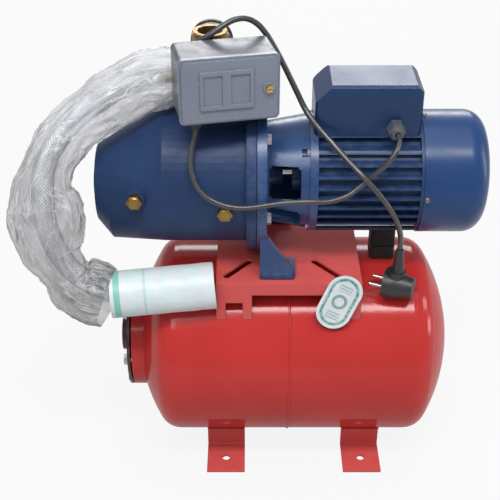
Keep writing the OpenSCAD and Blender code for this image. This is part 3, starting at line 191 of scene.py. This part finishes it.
def add_mesh(name, verts, faces, material):
    """A smooth shaded object with one material."""
    mesh = bpy.data.meshes.new(name)
    mesh.from_pydata([tuple(v) for v in verts], [], faces)
    mesh.update()
    mesh.shade_smooth()
    mesh.materials.append(material)
    piece = bpy.data.objects.new(name, mesh)
    scene.collection.objects.link(piece)
    return piece


def map_uvs(piece, uvs):
    """Write a UV pair for each corner of each face, in order."""
    layer = piece.data.uv_layers.new(name="UVMap")
    for corner, uv in zip(layer.data, [uv for face in uvs for uv in face]):
        corner.uv = uv


def tube_piece(name, points, radius, sides, material, caps=True):
    """Tube along points. radius is a number or f(i, angle).

    Its UV map has U along the route in metres and V once round.
    """
    frames = side_frames(points)
    verts, faces, along = [], [], [0.0]
    for i, p in enumerate(points):
        if i:
            along.append(along[-1] + (p - points[i - 1]).length)
        side, cross = frames[i]
        for k in range(sides):
            a = 2 * math.pi * k / sides
            r = radius(i, a) if callable(radius) else radius
            verts.append(p + (side * math.cos(a) + cross * math.sin(a)) * r)
    uvs = []
    for i in range(len(points) - 1):
        for k in range(sides):
            j = (k + 1) % sides
            faces.append((i * sides + k, i * sides + j, (i + 1) * sides + j, (i + 1) * sides + k))
            uvs.append(((along[i], k / sides), (along[i], (k + 1) / sides),
                        (along[i + 1], (k + 1) / sides), (along[i + 1], k / sides)))
    if caps:
        last = (len(points) - 1) * sides
        faces.append(tuple(reversed(range(sides))))
        faces.append(tuple(last + k for k in range(sides)))
        uvs.append(((0, 0),) * sides)
        uvs.append(((along[-1], 0),) * sides)
    piece = add_mesh(name, verts, faces, material)
    map_uvs(piece, uvs)
    return piece


# Camera, fitted to the photo

CAMERA_AT = (-0.0616, -1.138, 1.024)
DEGREES_DOWN = 32.75

camera_data = bpy.data.cameras.new("camera")
camera = bpy.data.objects.new("camera", camera_data)
scene.collection.objects.link(camera)
camera.location = CAMERA_AT
camera.rotation_euler = (math.radians(90 - DEGREES_DOWN), 0, 0)
camera_data.sensor_width = 36
camera_data.lens = 72
camera_data.clip_start = 0.05
scene.camera = camera


# Materials

NAVY = (0.016, 0.038, 0.106)
WORN_NAVY = (0.06, 0.10, 0.20)


def red_paint(name, base, **values):
    """Red paint, with a thin clear gloss unless told otherwise."""
    values = {"grain": 380, "edge": 0.0008, "coat": 0.55, **values}
    return coated(name, base, rough=0.34, spread=0.06, blotch=9, depth=0.0005, strength=0.06,
                  spec=0.0, coat_rough=0.14, wear=0.15, wear_colour=(0.60, 0.16, 0.13), **values)


M = {
    "tank": red_paint("tank_paint", (0.47, 0.028, 0.025)),
    # Lighter, pinker copy of the tank's red on the platform: painted light on its front and lip
    "platform": red_paint("platform_red_painted_light", (0.61, 0.092, 0.086), edge=0.0020, grain=420,
                          coat=0.30),
    # Lighter copy of the tank's red on the feet: painted light on their shaded fronts
    "feet": red_paint("foot_red_painted_light", (0.61, 0.086, 0.080), edge=0.0014, grain=420),
    "flange": coated("flange_coat", (0.045, 0.010, 0.012), rough=0.35, spread=0.3, blotch=30,
                     grain=700, wear=0.3, wear_colour=(0.25, 0.22, 0.25)),
    "casting": coated("pump_paint", NAVY, rough=0.42, spread=0.16, blotch=14, grain=330,
                      depth=0.0010, strength=0.28, spec=0.22, wear=0.35, wear_colour=WORN_NAVY,
                      edge=0.0014),
    # Lighter copy of the navy paint on the bracket: painted light on its lit top
    "bracket": coated("bracket_navy_painted_light", (0.016, 0.050, 0.152), rough=0.32, spread=0.14, blotch=14,
                      grain=260, depth=0.0008, strength=0.3, spec=0.22, coat=0.50, coat_rough=0.24,
                      wear=0.4, wear_colour=(0.08, 0.13, 0.25), edge=0.0016),
    "motor": coated("motor_paint", NAVY, rough=0.33, spread=0.12, blotch=18, grain=420,
                    depth=0.0006, strength=0.16, spec=0.22, wear=0.35, wear_colour=WORN_NAVY),
    "cover": coated("cover_paint", (0.0110, 0.044, 0.142), rough=0.28, spread=0.06, blotch=10,
                    grain=300, depth=0.0003, strength=0.08, spec=0.16, coat=0.34, coat_rough=0.32),
    "boxblue": coated("box_blue", (0.0060, 0.028, 0.094), rough=0.30, spread=0.06, blotch=3,
                      grain=800, depth=0.0002, strength=0.04, spec=0.38),
    "brass": coated("brass", (0.30, 0.185, 0.065), rough=0.40, metal=1.0, spread=0.2, blotch=40,
                    grain=260, depth=0.0003, strength=0.18, wear=0.4,
                    wear_colour=(0.72, 0.52, 0.22)),
    "steel": coated("zinc_steel", (0.52, 0.52, 0.53), rough=0.30, metal=1.0, spread=0.14,
                    blotch=70, grain=600, strength=0.12, edge=0.0004),
    "screw": coated("dull_screw", (0.20, 0.20, 0.22), rough=0.42, metal=0.9, spread=0.14,
                    blotch=70, edge=0.0004),
    "yellow": coated("yellow_zinc", (0.62, 0.45, 0.16), rough=0.3, metal=1.0, spread=0.15,
                     blotch=90, edge=0.0004),
    "bright": coated("stainless", (0.66, 0.66, 0.67), rough=0.2, metal=1.0, spread=0.05,
                     blotch=60, edge=0.0003),
    "core": coated("core_steel", (0.22, 0.22, 0.23), rough=0.45, metal=0.9, spread=0.2, blotch=60),
    "copper": coated("copper_wire", (0.45, 0.16, 0.06), rough=0.35, metal=0.8, spread=0.25,
                     blotch=120),
    "resin": coated("white_resin", (0.74, 0.73, 0.69), rough=0.5, spread=0.04),
    "ceramic": coated("seal_ceramic", (0.80, 0.78, 0.72), rough=0.2, spread=0.03),
    "rubber": coated("black_rubber", (0.020, 0.020, 0.021), rough=0.62, spread=0.3, blotch=40,
                     grain=900, spec=0.35),
    "plastic": coated("black_plastic", (0.022, 0.022, 0.024), rough=0.38, spread=0.2, blotch=30,
                      grain=1100, depth=0.0002, strength=0.25),
    "gland": coated("grey_gland_plastic", (0.085, 0.090, 0.100), rough=0.30, spread=0.12,
                    blotch=30, grain=1100, depth=0.0002, strength=0.2),
    "grey": coated("grey_plastic", (0.145, 0.165, 0.215), rough=0.30, spread=0.06, blotch=16,
                   grain=1300, depth=0.0002, strength=0.2, spec=0.95, wear=0.2,
                   wear_colour=(0.3, 0.32, 0.36)),
    "darkgrey": coated("dark_grey_plastic", (0.075, 0.084, 0.098), rough=0.32, spread=0.08,
                       blotch=16, grain=1300, depth=0.0002, strength=0.3),
    "cable": coated("cable_sheath", (0.032, 0.032, 0.032), rough=0.34, spread=0.2, blotch=25,
                    grain=700, depth=0.0002, strength=0.15, edge=0.0, coat=0.6, coat_rough=0.24),
}
GIVEN = {
    "tank": "tank_shell",
    "platform": "platform",
    "feet": "foot_left foot_right",
    "flange": "counter_flange",
    "casting": "pump_casing",
    "bracket": "motor_bracket",
    "motor": "motor_frame rear_shield",
    "cover": "fan_cover",
    "boxblue": "terminal_box_base terminal_box_cover",
    "brass": "brass_plugs impeller impeller_nut five_way_fitting hose_nuts air_valve",
    "steel": "flange_bolts pump_bolts casing_bolts tie_rods plug_pins bearing_balls bearing_inner_rings "
             "bearing_outer_rings range_spring switch_lever",
    "screw": "motor_screws",
    "yellow": "cover_screw",
    "bright": "shaft seal_rotating",
    "core": "rotor_core stator_core",
    "copper": "stator_windings",
    "resin": "ejector diffuser run_capacitor contact_block",
    "ceramic": "seal_seat",
    "rubber": "casing_gasket motor_foot tank_bladder",
    "plastic": "cooling_fan valve_cap switch_glands switch_plunger mains_plug gauge_case gauge_pointer",
    "gland": "motor_gland",
    "grey": "switch_cover",
    "darkgrey": "switch_body",
}


def dress(name, material):
    """Give a CAD node one material."""
    NODES[name].data.materials.clear()
    NODES[name].data.materials.append(material)


for key, names in GIVEN.items():
    for name in names.split():
        dress(name, M[key])


def glass_material():
    """Clear plastic window of the gauge."""
    t = Tree("gauge_clear")
    t.set(Base_Color=(0.95, 0.97, 0.97, 1), Roughness=0.04, Transmission_Weight=1.0, IOR=1.45, Alpha=0.5)
    return t.mat


STRANDS = 20


def braid_material(radius):
    """Woven wire sleeve: two sets of strands that cross, over and under, drawn from the UV map."""
    t = Tree("wire_braid")
    u, v, _ = t.split(t.coord.outputs["UV"])
    along = t.math("MULTIPLY", u, 1 / (2 * math.pi * radius))
    waves = []
    for lean in (1, -1):
        phase = t.math("MULTIPLY", t.math("ADD", v, t.math("MULTIPLY", along, lean)), STRANDS)
        waves.append(t.math("ABSOLUTE", t.math("SINE", t.math("MULTIPLY", phase, math.pi))))
    height = t.math("MAXIMUM", waves[0], waves[1])
    shade = t.ramp(height, 0.3, 1.0)
    t.set(Base_Color=t.mix(shade, (0.46, 0.46, 0.50), (0.96, 0.97, 1.0)), Metallic=0.20, Roughness=0.32)
    t.set(Normal=t.bump(height, 0.7, 0.0008))
    return t.mat


FOLDS_ROUND, FOLDS_ALONG = 2.0, 14.0


def film_material():
    """Thin clear film: grey haze, long soft folds and a few pale painted highlights in lines along the
    hose.
    """
    t = Tree("clear_film")
    u, v, _ = t.split(t.coord.outputs["UV"])
    turn = t.math("MULTIPLY", v, 2 * math.pi)
    ring = t.add("ShaderNodeCombineXYZ")
    t.link(t.math("MULTIPLY", t.math("COSINE", turn), FOLDS_ROUND), ring.inputs[0])
    t.link(t.math("MULTIPLY", t.math("SINE", turn), FOLDS_ROUND), ring.inputs[1])
    t.link(t.math("MULTIPLY", u, FOLDS_ALONG), ring.inputs[2])
    along = ring.outputs[0]
    big = t.noise(1.0, 4, 0.55, vector=along, distortion=0.8)
    fine = t.noise(3.2, 3, 0.6, vector=along, distortion=0.6)
    tone = t.noise(1.7, 3, 0.5, vector=along, distortion=0.3)
    # Pale lines along the folds, from both noises, are painted highlights
    fold_highlight = t.ramp(t.math("ABSOLUTE", t.math("SUBTRACT", big, 0.5)), 0.0, 0.030, 1.0, 0.0)
    small = t.ramp(t.math("ABSOLUTE", t.math("SUBTRACT", fine, 0.5)), 0.0, 0.05, 1.0, 0.0)
    lines = t.math("MAXIMUM", t.math("MULTIPLY", fold_highlight, 0.9), t.math("MULTIPLY", small, 0.45))
    # Doubled film at the start is denser; the middle and the far end are darkened as painted shade, the
    # far end also warm-tinted and denser
    start = t.ramp(u, 0.012, 0.050, 1.0, 0.0)
    middle = t.ramp(u, 0.13, 0.24)
    end = t.ramp(u, 0.33, 0.42)
    pale = t.mix(end, t.mix(middle, (0.60, 0.61, 0.64), (0.20, 0.20, 0.21)), (0.16, 0.148, 0.14))
    deep = t.mix(end, t.mix(middle, (0.24, 0.24, 0.245), (0.085, 0.085, 0.09)), (0.045, 0.043, 0.041))
    haze = t.mix(t.ramp(tone, 0.38, 0.60), deep, pale)
    # The painted highlights thin out past the middle of the film
    lines = t.math("MULTIPLY", lines, t.ramp(u, 0.14, 0.30, 1.0, 0.55))
    t.set(Base_Color=t.mix(lines, haze, (0.84, 0.85, 0.90)))
    t.set(Roughness=0.24, Specular_IOR_Level=0.45)
    veil = t.math("ADD", t.ramp(big, 0.35, 0.65, 0.34, 0.58), t.math("MULTIPLY", start, 0.30))
    veil = t.math("ADD", veil, t.math("MULTIPLY", end, 0.18))
    t.set(Alpha=t.math("MAXIMUM", veil, t.math("MULTIPLY", lines, 0.85)))
    height = t.math("ADD", t.math("MULTIPLY", big, 1.6), t.math("MULTIPLY", fine, 0.5))
    t.set(Normal=t.bump(height, 0.45, 0.006))
    return t.mat


def print_material(name, pattern):
    """White coated paper; pattern(t) gives the printed colour and how much of it."""
    t = Tree(name)
    paper = t.mix(t.ramp(t.noise(45, 3), 0.3, 0.7), (0.58, 0.62, 0.65), (0.68, 0.72, 0.74))
    colour = paper
    for amount, ink in pattern(t):
        colour = t.mix(amount, colour, ink)
    t.set(Base_Color=colour, Roughness=0.42)
    t.set(Normal=t.bump(t.noise(55, 4), 0.40, 0.0016))
    return t.mat


def band(t, value, low, high, soft=0.0004):
    """1 between low and high, 0 outside."""
    rise = t.ramp(value, low - soft, low + soft)
    fall = t.ramp(value, high - soft, high + soft, 1.0, 0.0)
    return t.math("MULTIPLY", rise, fall)


dress("gauge_glass", glass_material())


# Cords

def metres(points):
    """The same points, from millimetres to metres."""
    return [tuple(c / 1000 for c in p) for p in points]


HOSE_RADIUS, MAINS_RADIUS, LINK_RADIUS = 0.014, 0.0035, 0.00325

HOSE = metres([
    [-171.3, 0, 540], [-180, 0, 540], [-201, -1, 537], [-227, -6, 527], [-246, -11, 516],
    [-266, -17, 504], [-286, -26, 488], [-303, -38, 468], [-314, -50, 445], [-317, -61, 421],
    [-317, -70, 397], [-313, -78, 371], [-303, -84, 344], [-286, -90, 320], [-264, -94, 303],
    [-237, -98, 293], [-208, -98, 290], [-191, -96, 291], [-181.3, -95.1, 291.4],
])
MAINS = metres([
    [-76, -2, 544], [-77, 5, 544], [-79, 14, 545], [-85, 23, 547], [-96, 29, 550],
    [-109, 31, 554], [-121, 28, 559], [-131, 20, 565], [-137, 7, 571], [-138, -7, 579],
    [-132, -19, 588], [-121, -26, 598], [-107, -27, 607], [-94, -23, 615], [-81, -16, 620],
    [-67, -10, 620], [-54, -7, 613], [-43, -8, 601], [-33, -10, 585], [-23, -13, 567],
    [-14, -18, 550], [-5, -24, 533], [3, -31, 518], [12, -40, 506], [24, -49, 494],
    [38, -60, 482], [53, -75, 470], [72, -93, 456], [90, -101, 438], [106, -100, 416],
    [118, -93, 392], [125, -84, 369], [127, -80, 356], [127, -80, 345],
])
LINK = metres([
    [115, -60, 493], [116, -69, 491], [114, -77, 488], [110, -84, 482], [102, -88, 471],
    [92, -87, 460], [81, -87, 449], [70, -89, 439], [57, -94, 431], [43, -99, 427],
    [27, -103, 426], [8, -106, 428], [-22, -109, 428], [-46, -110, 425], [-70, -110, 422],
    [-91, -108, 424], [-108, -105, 430], [-120, -101, 439], [-128, -95, 450], [-132, -88, 463],
    [-132, -81, 476], [-130, -75, 488], [-127, -71, 498], [-125.8, -70, 506],
])

hose_line = smooth_route(HOSE, 6)
mains_line = smooth_route(MAINS, 4)
link_line = smooth_route(LINK, 4)
hose = tube_piece("hose_braid", hose_line, HOSE_RADIUS, 40, braid_material(HOSE_RADIUS))
mains = tube_piece("mains_lead", mains_line, MAINS_RADIUS, 16, M["cable"])
link = tube_piece("link_lead", link_line, LINK_RADIUS, 16, M["cable"])
for piece, node in ((hose, "braided_hose"), (mains, "mains_cord"), (link, "link_cable")):
    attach(piece, "pump_set")
    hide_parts(node)


# Spring under the switch lever

SPRING_TURNS, TURN_STEPS = 6, 20
SPRING_WIRE, WIRE_SPACE = 0.00105, 0.0011
CLOSED_ENDS = 0.8
SPRING_LOW, SPRING_HIGH = (Vector(c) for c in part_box("range_spring"))


def spring_line():
    """Coil whose first and last turns lie close."""
    middle = (SPRING_LOW + SPRING_HIGH) / 2
    radius = (SPRING_HIGH.x - SPRING_LOW.x) / 2 - WIRE_SPACE
    height = SPRING_HIGH.z - SPRING_LOW.z - 2 * WIRE_SPACE
    made = []
    for i in range(SPRING_TURNS * TURN_STEPS + 1):
        t = i / (SPRING_TURNS * TURN_STEPS)
        a = 2 * math.pi * SPRING_TURNS * t
        rise = t - math.sin(2 * math.pi * t) / (2 * math.pi) * CLOSED_ENDS
        made.append(Vector((middle.x + radius * math.cos(a), middle.y + radius * math.sin(a),
                            SPRING_LOW.z + WIRE_SPACE + height * rise)))
    return made


spring = tube_piece("spring_coil", spring_line(), SPRING_WIRE, 10, M["steel"])
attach(spring, "pump_set")
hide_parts("range_spring")
tuple(SPRING_LOW)
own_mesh(spring)


# Film round the hose

# x, y, z and radius in millimetres
FILM = [
    (-149, 0, 542, 34), (-165, 0, 542, 37), (-190, -3, 537, 36), (-212, -6, 525, 36),
    (-234, -9, 514, 37), (-252, -14, 502, 34), (-271, -22, 490, 31), (-286, -30, 478, 31),
    (-296, -39, 467, 31), (-305, -48, 453, 30), (-312, -55, 437, 32), (-316, -61, 421, 38),
    (-314, -67, 401, 47), (-313, -73, 380, 47), (-312, -77, 361, 44), (-310, -80, 342, 39),
    (-302, -84, 325, 31), (-295, -86, 311, 31), (-287, -89, 300, 37), (-273, -92, 293, 40),
    (-257, -96, 288, 41), (-244, -98, 284, 39),
]
FILM_STEPS, FILM_SIDES = 8, 72
FOLD_DEPTH, FINE_DEPTH, RIDGE_LEVEL = 0.10, 0.035, 0.6
FOLD_SCALE, RIDGE_SCALE, FINE_SCALE = 1.2, 2.0, 4.5
film_line = smooth_route(metres([q[:3] for q in FILM]), FILM_STEPS)


def film_radius(i, a):
    """Radius of the film with soft folds and a few sharper ones, smoother near its start."""
    span = min(i // FILM_STEPS, len(FILM) - 2)
    t = i / FILM_STEPS - span
    base = (FILM[span][3] * (1 - t) + FILM[span + 1][3] * t) / 1000
    p = Vector((math.cos(a) * 1.4, math.sin(a) * 1.4, i * 0.034))
    fold = noise.noise(p * FOLD_SCALE)
    ridge = 1 - abs(noise.noise(p * RIDGE_SCALE + Vector((5, 1, 0)))) * 2
    fine = 1 - abs(noise.noise(p * FINE_SCALE + Vector((0, 9, 3)))) * 2
    free = min(1.0, 0.35 + i / 14)
    coarse = FOLD_DEPTH * fold + FOLD_DEPTH * (ridge - RIDGE_LEVEL)
    return base * (1 + free * (coarse + FINE_DEPTH * (fine - RIDGE_LEVEL)))


LOOSE_X, LOOSE_Z = -0.264, 0.274
LOOSE_SHIFT = 0.020

film = tube_piece("film_wrap", film_line, film_radius, FILM_SIDES, film_material(), caps=False)
for point in film.data.vertices:
    # The loose end hangs on below the paper roll
    reach = min(max((point.co.x - LOOSE_X) / 0.026, 0), 1)
    low = min(max((LOOSE_Z - point.co.z) / 0.018, 0), 1)
    point.co.x += LOOSE_SHIFT * reach * low
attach(film, "pump_set")
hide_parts("hose_film")


# Printed paper round the hose's free end

ROLL_AT = Vector((-0.1075, -0.088, 0.2948))
ROLL_LEN, ROLL_R = 0.131, 0.0305
ROLL_WRAPS, ROLL_START = 2.3, 2.2
ROLL_INSET, ROLL_SPIRAL = 0.0026, 0.0024
SIDE_WAVE, END_WAVE = 0.00035, 0.0012
dip, turn = math.radians(2.6), math.radians(5.5)
roll_dir = Vector((-math.cos(dip) * math.cos(turn), -math.cos(dip) * math.sin(turn), -math.sin(dip)))


def roll_print(t):
    """A green stripe at one end, thin rules and pale panels, all generic."""
    u, v, _ = t.split(t.coord.outputs["UV"])
    green = (0.20, 0.50, 0.42)
    pale = (0.52, 0.72, 0.70)
    yield band(t, u, 0.1185, 0.1265), green
    yield band(t, u, 0.0030, 0.0045), pale
    rows = t.math("FRACT", t.math("MULTIPLY", v, 26.0))
    mottle = t.ramp(t.noise(34, 2), 0.42, 0.58, 0.05, 0.75)
    panel = t.math("MULTIPLY", band(t, u, 0.018, 0.112, 0.001), mottle)
    yield t.math("MULTIPLY", panel, t.ramp(rows, 0.45, 0.55)), pale
    yield t.math("MULTIPLY", band(t, u, 0.060, 0.064), 0.5), pale
    yield t.math("MULTIPLY", band(t, u, 0.086, 0.089), 0.45), green


def make_roll():
    """Sheet wound a little more than twice, with a free edge and slightly uneven ends."""
    cross = roll_dir.cross(Vector((0, 0, 1))).normalized()
    up = cross.cross(roll_dir).normalized()
    steps, rows = 150, 26
    verts, faces, uvs = [], [], []
    for j in range(rows + 1):
        for i in range(steps + 1):
            f = i / steps
            a = -f * ROLL_WRAPS * 2 * math.pi + ROLL_START
            r = ROLL_R - ROLL_INSET + ROLL_SPIRAL * f
            r += SIDE_WAVE * noise.noise(Vector((math.cos(a), math.sin(a), j * 0.25)) * 1.7)
            s = ROLL_LEN * j / rows
            if j in (0, rows):
                s += END_WAVE * noise.noise(Vector((a * 0.5, 3.0, j)))
            verts.append(ROLL_AT + roll_dir * s + (cross * math.cos(a) + up * math.sin(a)) * r)

    def uv(j, i):
        return ROLL_LEN * j / rows, i / steps * ROLL_WRAPS

    for j in range(rows):
        for i in range(steps):
            k = j * (steps + 1) + i
            faces.append((k, k + 1, k + steps + 2, k + steps + 1))
            uvs.append((uv(j, i), uv(j, i + 1), uv(j + 1, i + 1), uv(j + 1, i)))
    piece = add_mesh("paper_wrap", verts, faces, print_material("printed_paper", roll_print))
    map_uvs(piece, uvs)
    return piece


roll = make_roll()
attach(roll, "pump_set")
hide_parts("paper_roll")


# Hang tag

TAG_AT = Vector((0.052, -0.1041, 0.280))
TAG_LEAN, TAG_TILT = math.radians(78), math.radians(-25)
TAG_LENGTH, TAG_WIDTH = 0.076, 0.046
TAG_STRAIGHT = (TAG_LENGTH - TAG_WIDTH) / 2
TAG_SIDES = 48
TAG_INSETS = (0.0, 0.0006, 0.003, 0.006, 0.010, 0.014, 0.018, 0.0225)
CURL_ALONG, CURL_ACROSS, CURL_BACK = 0.9, 0.5, 0.0004


def tag_pattern(t):
    """A green border, a ring in the middle and two blocks of thin rules, all generic."""
    u, v, _ = t.split(t.coord.outputs["UV"])
    green = (0.05, 0.24, 0.17)
    reach = t.math("MAXIMUM", t.math("SUBTRACT", t.math("ABSOLUTE", v), TAG_STRAIGHT), 0.0)
    edge = t.math("SQRT", t.math("ADD", t.math("MULTIPLY", u, u), t.math("MULTIPLY", reach, reach)))
    printed = t.ramp(t.noise(260, 2), 0.4, 0.6, 0.55, 0.95)
    yield t.math("MULTIPLY", band(t, edge, 0.0150, 0.0188, 0.0004), printed), green
    ring = t.math("SQRT", t.math("ADD", t.math("MULTIPLY", u, u), t.math("MULTIPLY", v, v)))
    yield t.math("MULTIPLY", band(t, ring, 0.0062, 0.0102, 0.0004), 0.75), green
    rows = t.math("FRACT", t.math("MULTIPLY", v, 260.0))
    lines = t.math("MULTIPLY", band(t, u, -0.009, 0.009), t.ramp(rows, 0.5, 0.6, 0.0, 0.6))
    away = t.ramp(t.math("ABSOLUTE", v), 0.014, 0.0145)
    stop = t.ramp(t.math("ABSOLUTE", v), 0.025, 0.0255, 1.0, 0.0)
    yield t.math("MULTIPLY", lines, t.math("MULTIPLY", away, stop)), green


def make_tag():
    """Card with round ends, a little curled."""
    material = print_material("printed_card", tag_pattern)
    bm = bmesh.new()
    rings = []
    for inset in TAG_INSETS:
        ring = []
        for i in range(TAG_SIDES):
            a = 2 * math.pi * i / TAG_SIDES
            r = TAG_WIDTH / 2 - inset
            y = math.sin(a) * r + (TAG_STRAIGHT if math.sin(a) >= 0 else -TAG_STRAIGHT)
            ring.append(bm.verts.new((math.cos(a) * r, y, 0)))
        rings.append(ring)
    for a, b in zip(rings, rings[1:]):
        for i in range(TAG_SIDES):
            j = (i + 1) % TAG_SIDES
            bm.faces.new((a[i], a[j], b[j], b[i]))
    bm.faces.new(rings[-1])
    for v in bm.verts:
        v.co.z = CURL_ALONG * v.co.y * v.co.y + CURL_ACROSS * v.co.x * v.co.x - CURL_BACK
    layer = bm.loops.layers.uv.new("UVMap")
    for face in bm.faces:
        for loop in face.loops:
            loop[layer].uv = (loop.vert.co.x, loop.vert.co.y)
    mesh = bpy.data.meshes.new("tag_card")
    bm.to_mesh(mesh)
    bm.free()
    mesh.shade_smooth()
    mesh.materials.append(material)
    leaned = Matrix.Translation(TAG_AT) @ Matrix.Rotation(TAG_LEAN, 4, "X")
    mesh.transform(leaned @ Matrix.Rotation(TAG_TILT, 4, "Z"))
    piece = bpy.data.objects.new("tag_card", mesh)
    scene.collection.objects.link(piece)
    return piece


tag = make_tag()
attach(tag, "pump_set")
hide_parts("hang_tag")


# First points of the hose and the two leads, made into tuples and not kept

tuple(HOSE[0])
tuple(MAINS[0])
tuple(LINK[0])


# Floor, world and lights

FLOOR_TONE = 0.52
FLOOR_SEEN, FLOOR_MIRRORED = 0.88, 0.45
SKY_COLOUR, SKY_STRENGTH = (0.93, 0.96, 1.0, 1), 0.46
BACKDROP_STRENGTH = 0.94


def floor_material():
    """Pale floor that nearly glows for the camera but still takes a soft shadow."""
    t = Tree("floor")
    t.set(Base_Color=(FLOOR_TONE, FLOOR_TONE, FLOOR_TONE, 1), Roughness=0.9)
    light = t.add("ShaderNodeEmission")
    light.inputs["Strength"].default_value = 1.0
    path = t.add("ShaderNodeLightPath")
    plain = t.math("MAXIMUM", path.outputs["Is Camera Ray"], path.outputs["Is Transmission Ray"])
    seen = t.math("MULTIPLY", plain, FLOOR_SEEN)
    mirrored = t.math("MULTIPLY", path.outputs["Is Glossy Ray"], FLOOR_MIRRORED)
    mix = t.add("ShaderNodeMixShader")
    t.link(t.math("MAXIMUM", seen, mirrored), mix.inputs[0])
    t.link(t.bsdf.outputs[0], mix.inputs[1])
    t.link(light.outputs[0], mix.inputs[2])
    t.link(mix.outputs[0], t.out.inputs[0])
    return t.mat


corners = [(-4, -4, 0), (4, -4, 0), (4, 6, 0), (-4, 6, 0)]
floor = add_mesh("floor", corners, [(0, 1, 2, 3)], floor_material())

world = bpy.data.worlds.new("world")
scene.world = world
world.use_nodes = True
nodes, links = world.node_tree.nodes, world.node_tree.links
nodes.clear()
out = nodes.new("ShaderNodeOutputWorld")
soft = nodes.new("ShaderNodeBackground")
soft.inputs["Color"].default_value = SKY_COLOUR
soft.inputs["Strength"].default_value = SKY_STRENGTH
white = nodes.new("ShaderNodeBackground")
white.inputs["Color"].default_value = (1, 1, 1, 1)
white.inputs["Strength"].default_value = BACKDROP_STRENGTH
path = nodes.new("ShaderNodeLightPath")
mix = nodes.new("ShaderNodeMixShader")
shown = nodes.new("ShaderNodeMath")
shown.operation = "MAXIMUM"
links.new(path.outputs["Is Camera Ray"], shown.inputs[0])
links.new(path.outputs["Is Transmission Ray"], shown.inputs[1])
links.new(shown.outputs[0], mix.inputs[0])
links.new(soft.outputs[0], mix.inputs[1])
links.new(white.outputs[0], mix.inputs[2])
links.new(mix.outputs[0], out.inputs[0])


# Name: place, aim, size and power in watts
LIGHTS = {
    "key": ((-0.9, -1.5, 2.2), (0, 0, 0.35), (1.3, 1.0), 18),
    "top": ((0.3, 0.1, 2.4), (0, 0, 0.3), (1.6, 1.0), 9),
    "right": ((2.2, 0.0, 0.80), (0.1, 0, 0.35), (0.35, 1.3), 11),
    "back": ((0.1, 3.0, 1.52), (0, 0, 0.5), (2.6, 0.62), 42),
    "strip": ((0.1, -1.01, 2.15), (0, 0, 0.26), (1.4, 0.28), 26),
}


def area_light(name, where, target, size, power):
    """A white rectangular lamp turned to its target."""
    data = bpy.data.lights.new(name, "AREA")
    data.shape = "RECTANGLE"
    data.size, data.size_y = size
    data.energy = power
    lamp = bpy.data.objects.new(name, data)
    scene.collection.objects.link(lamp)
    lamp.location = where
    lamp.rotation_euler = (Vector(target) - Vector(where)).to_track_quat("-Z", "Y").to_euler()


for name, facts in LIGHTS.items():
    area_light(name, *facts)

scene.view_settings.view_transform = "Standard"
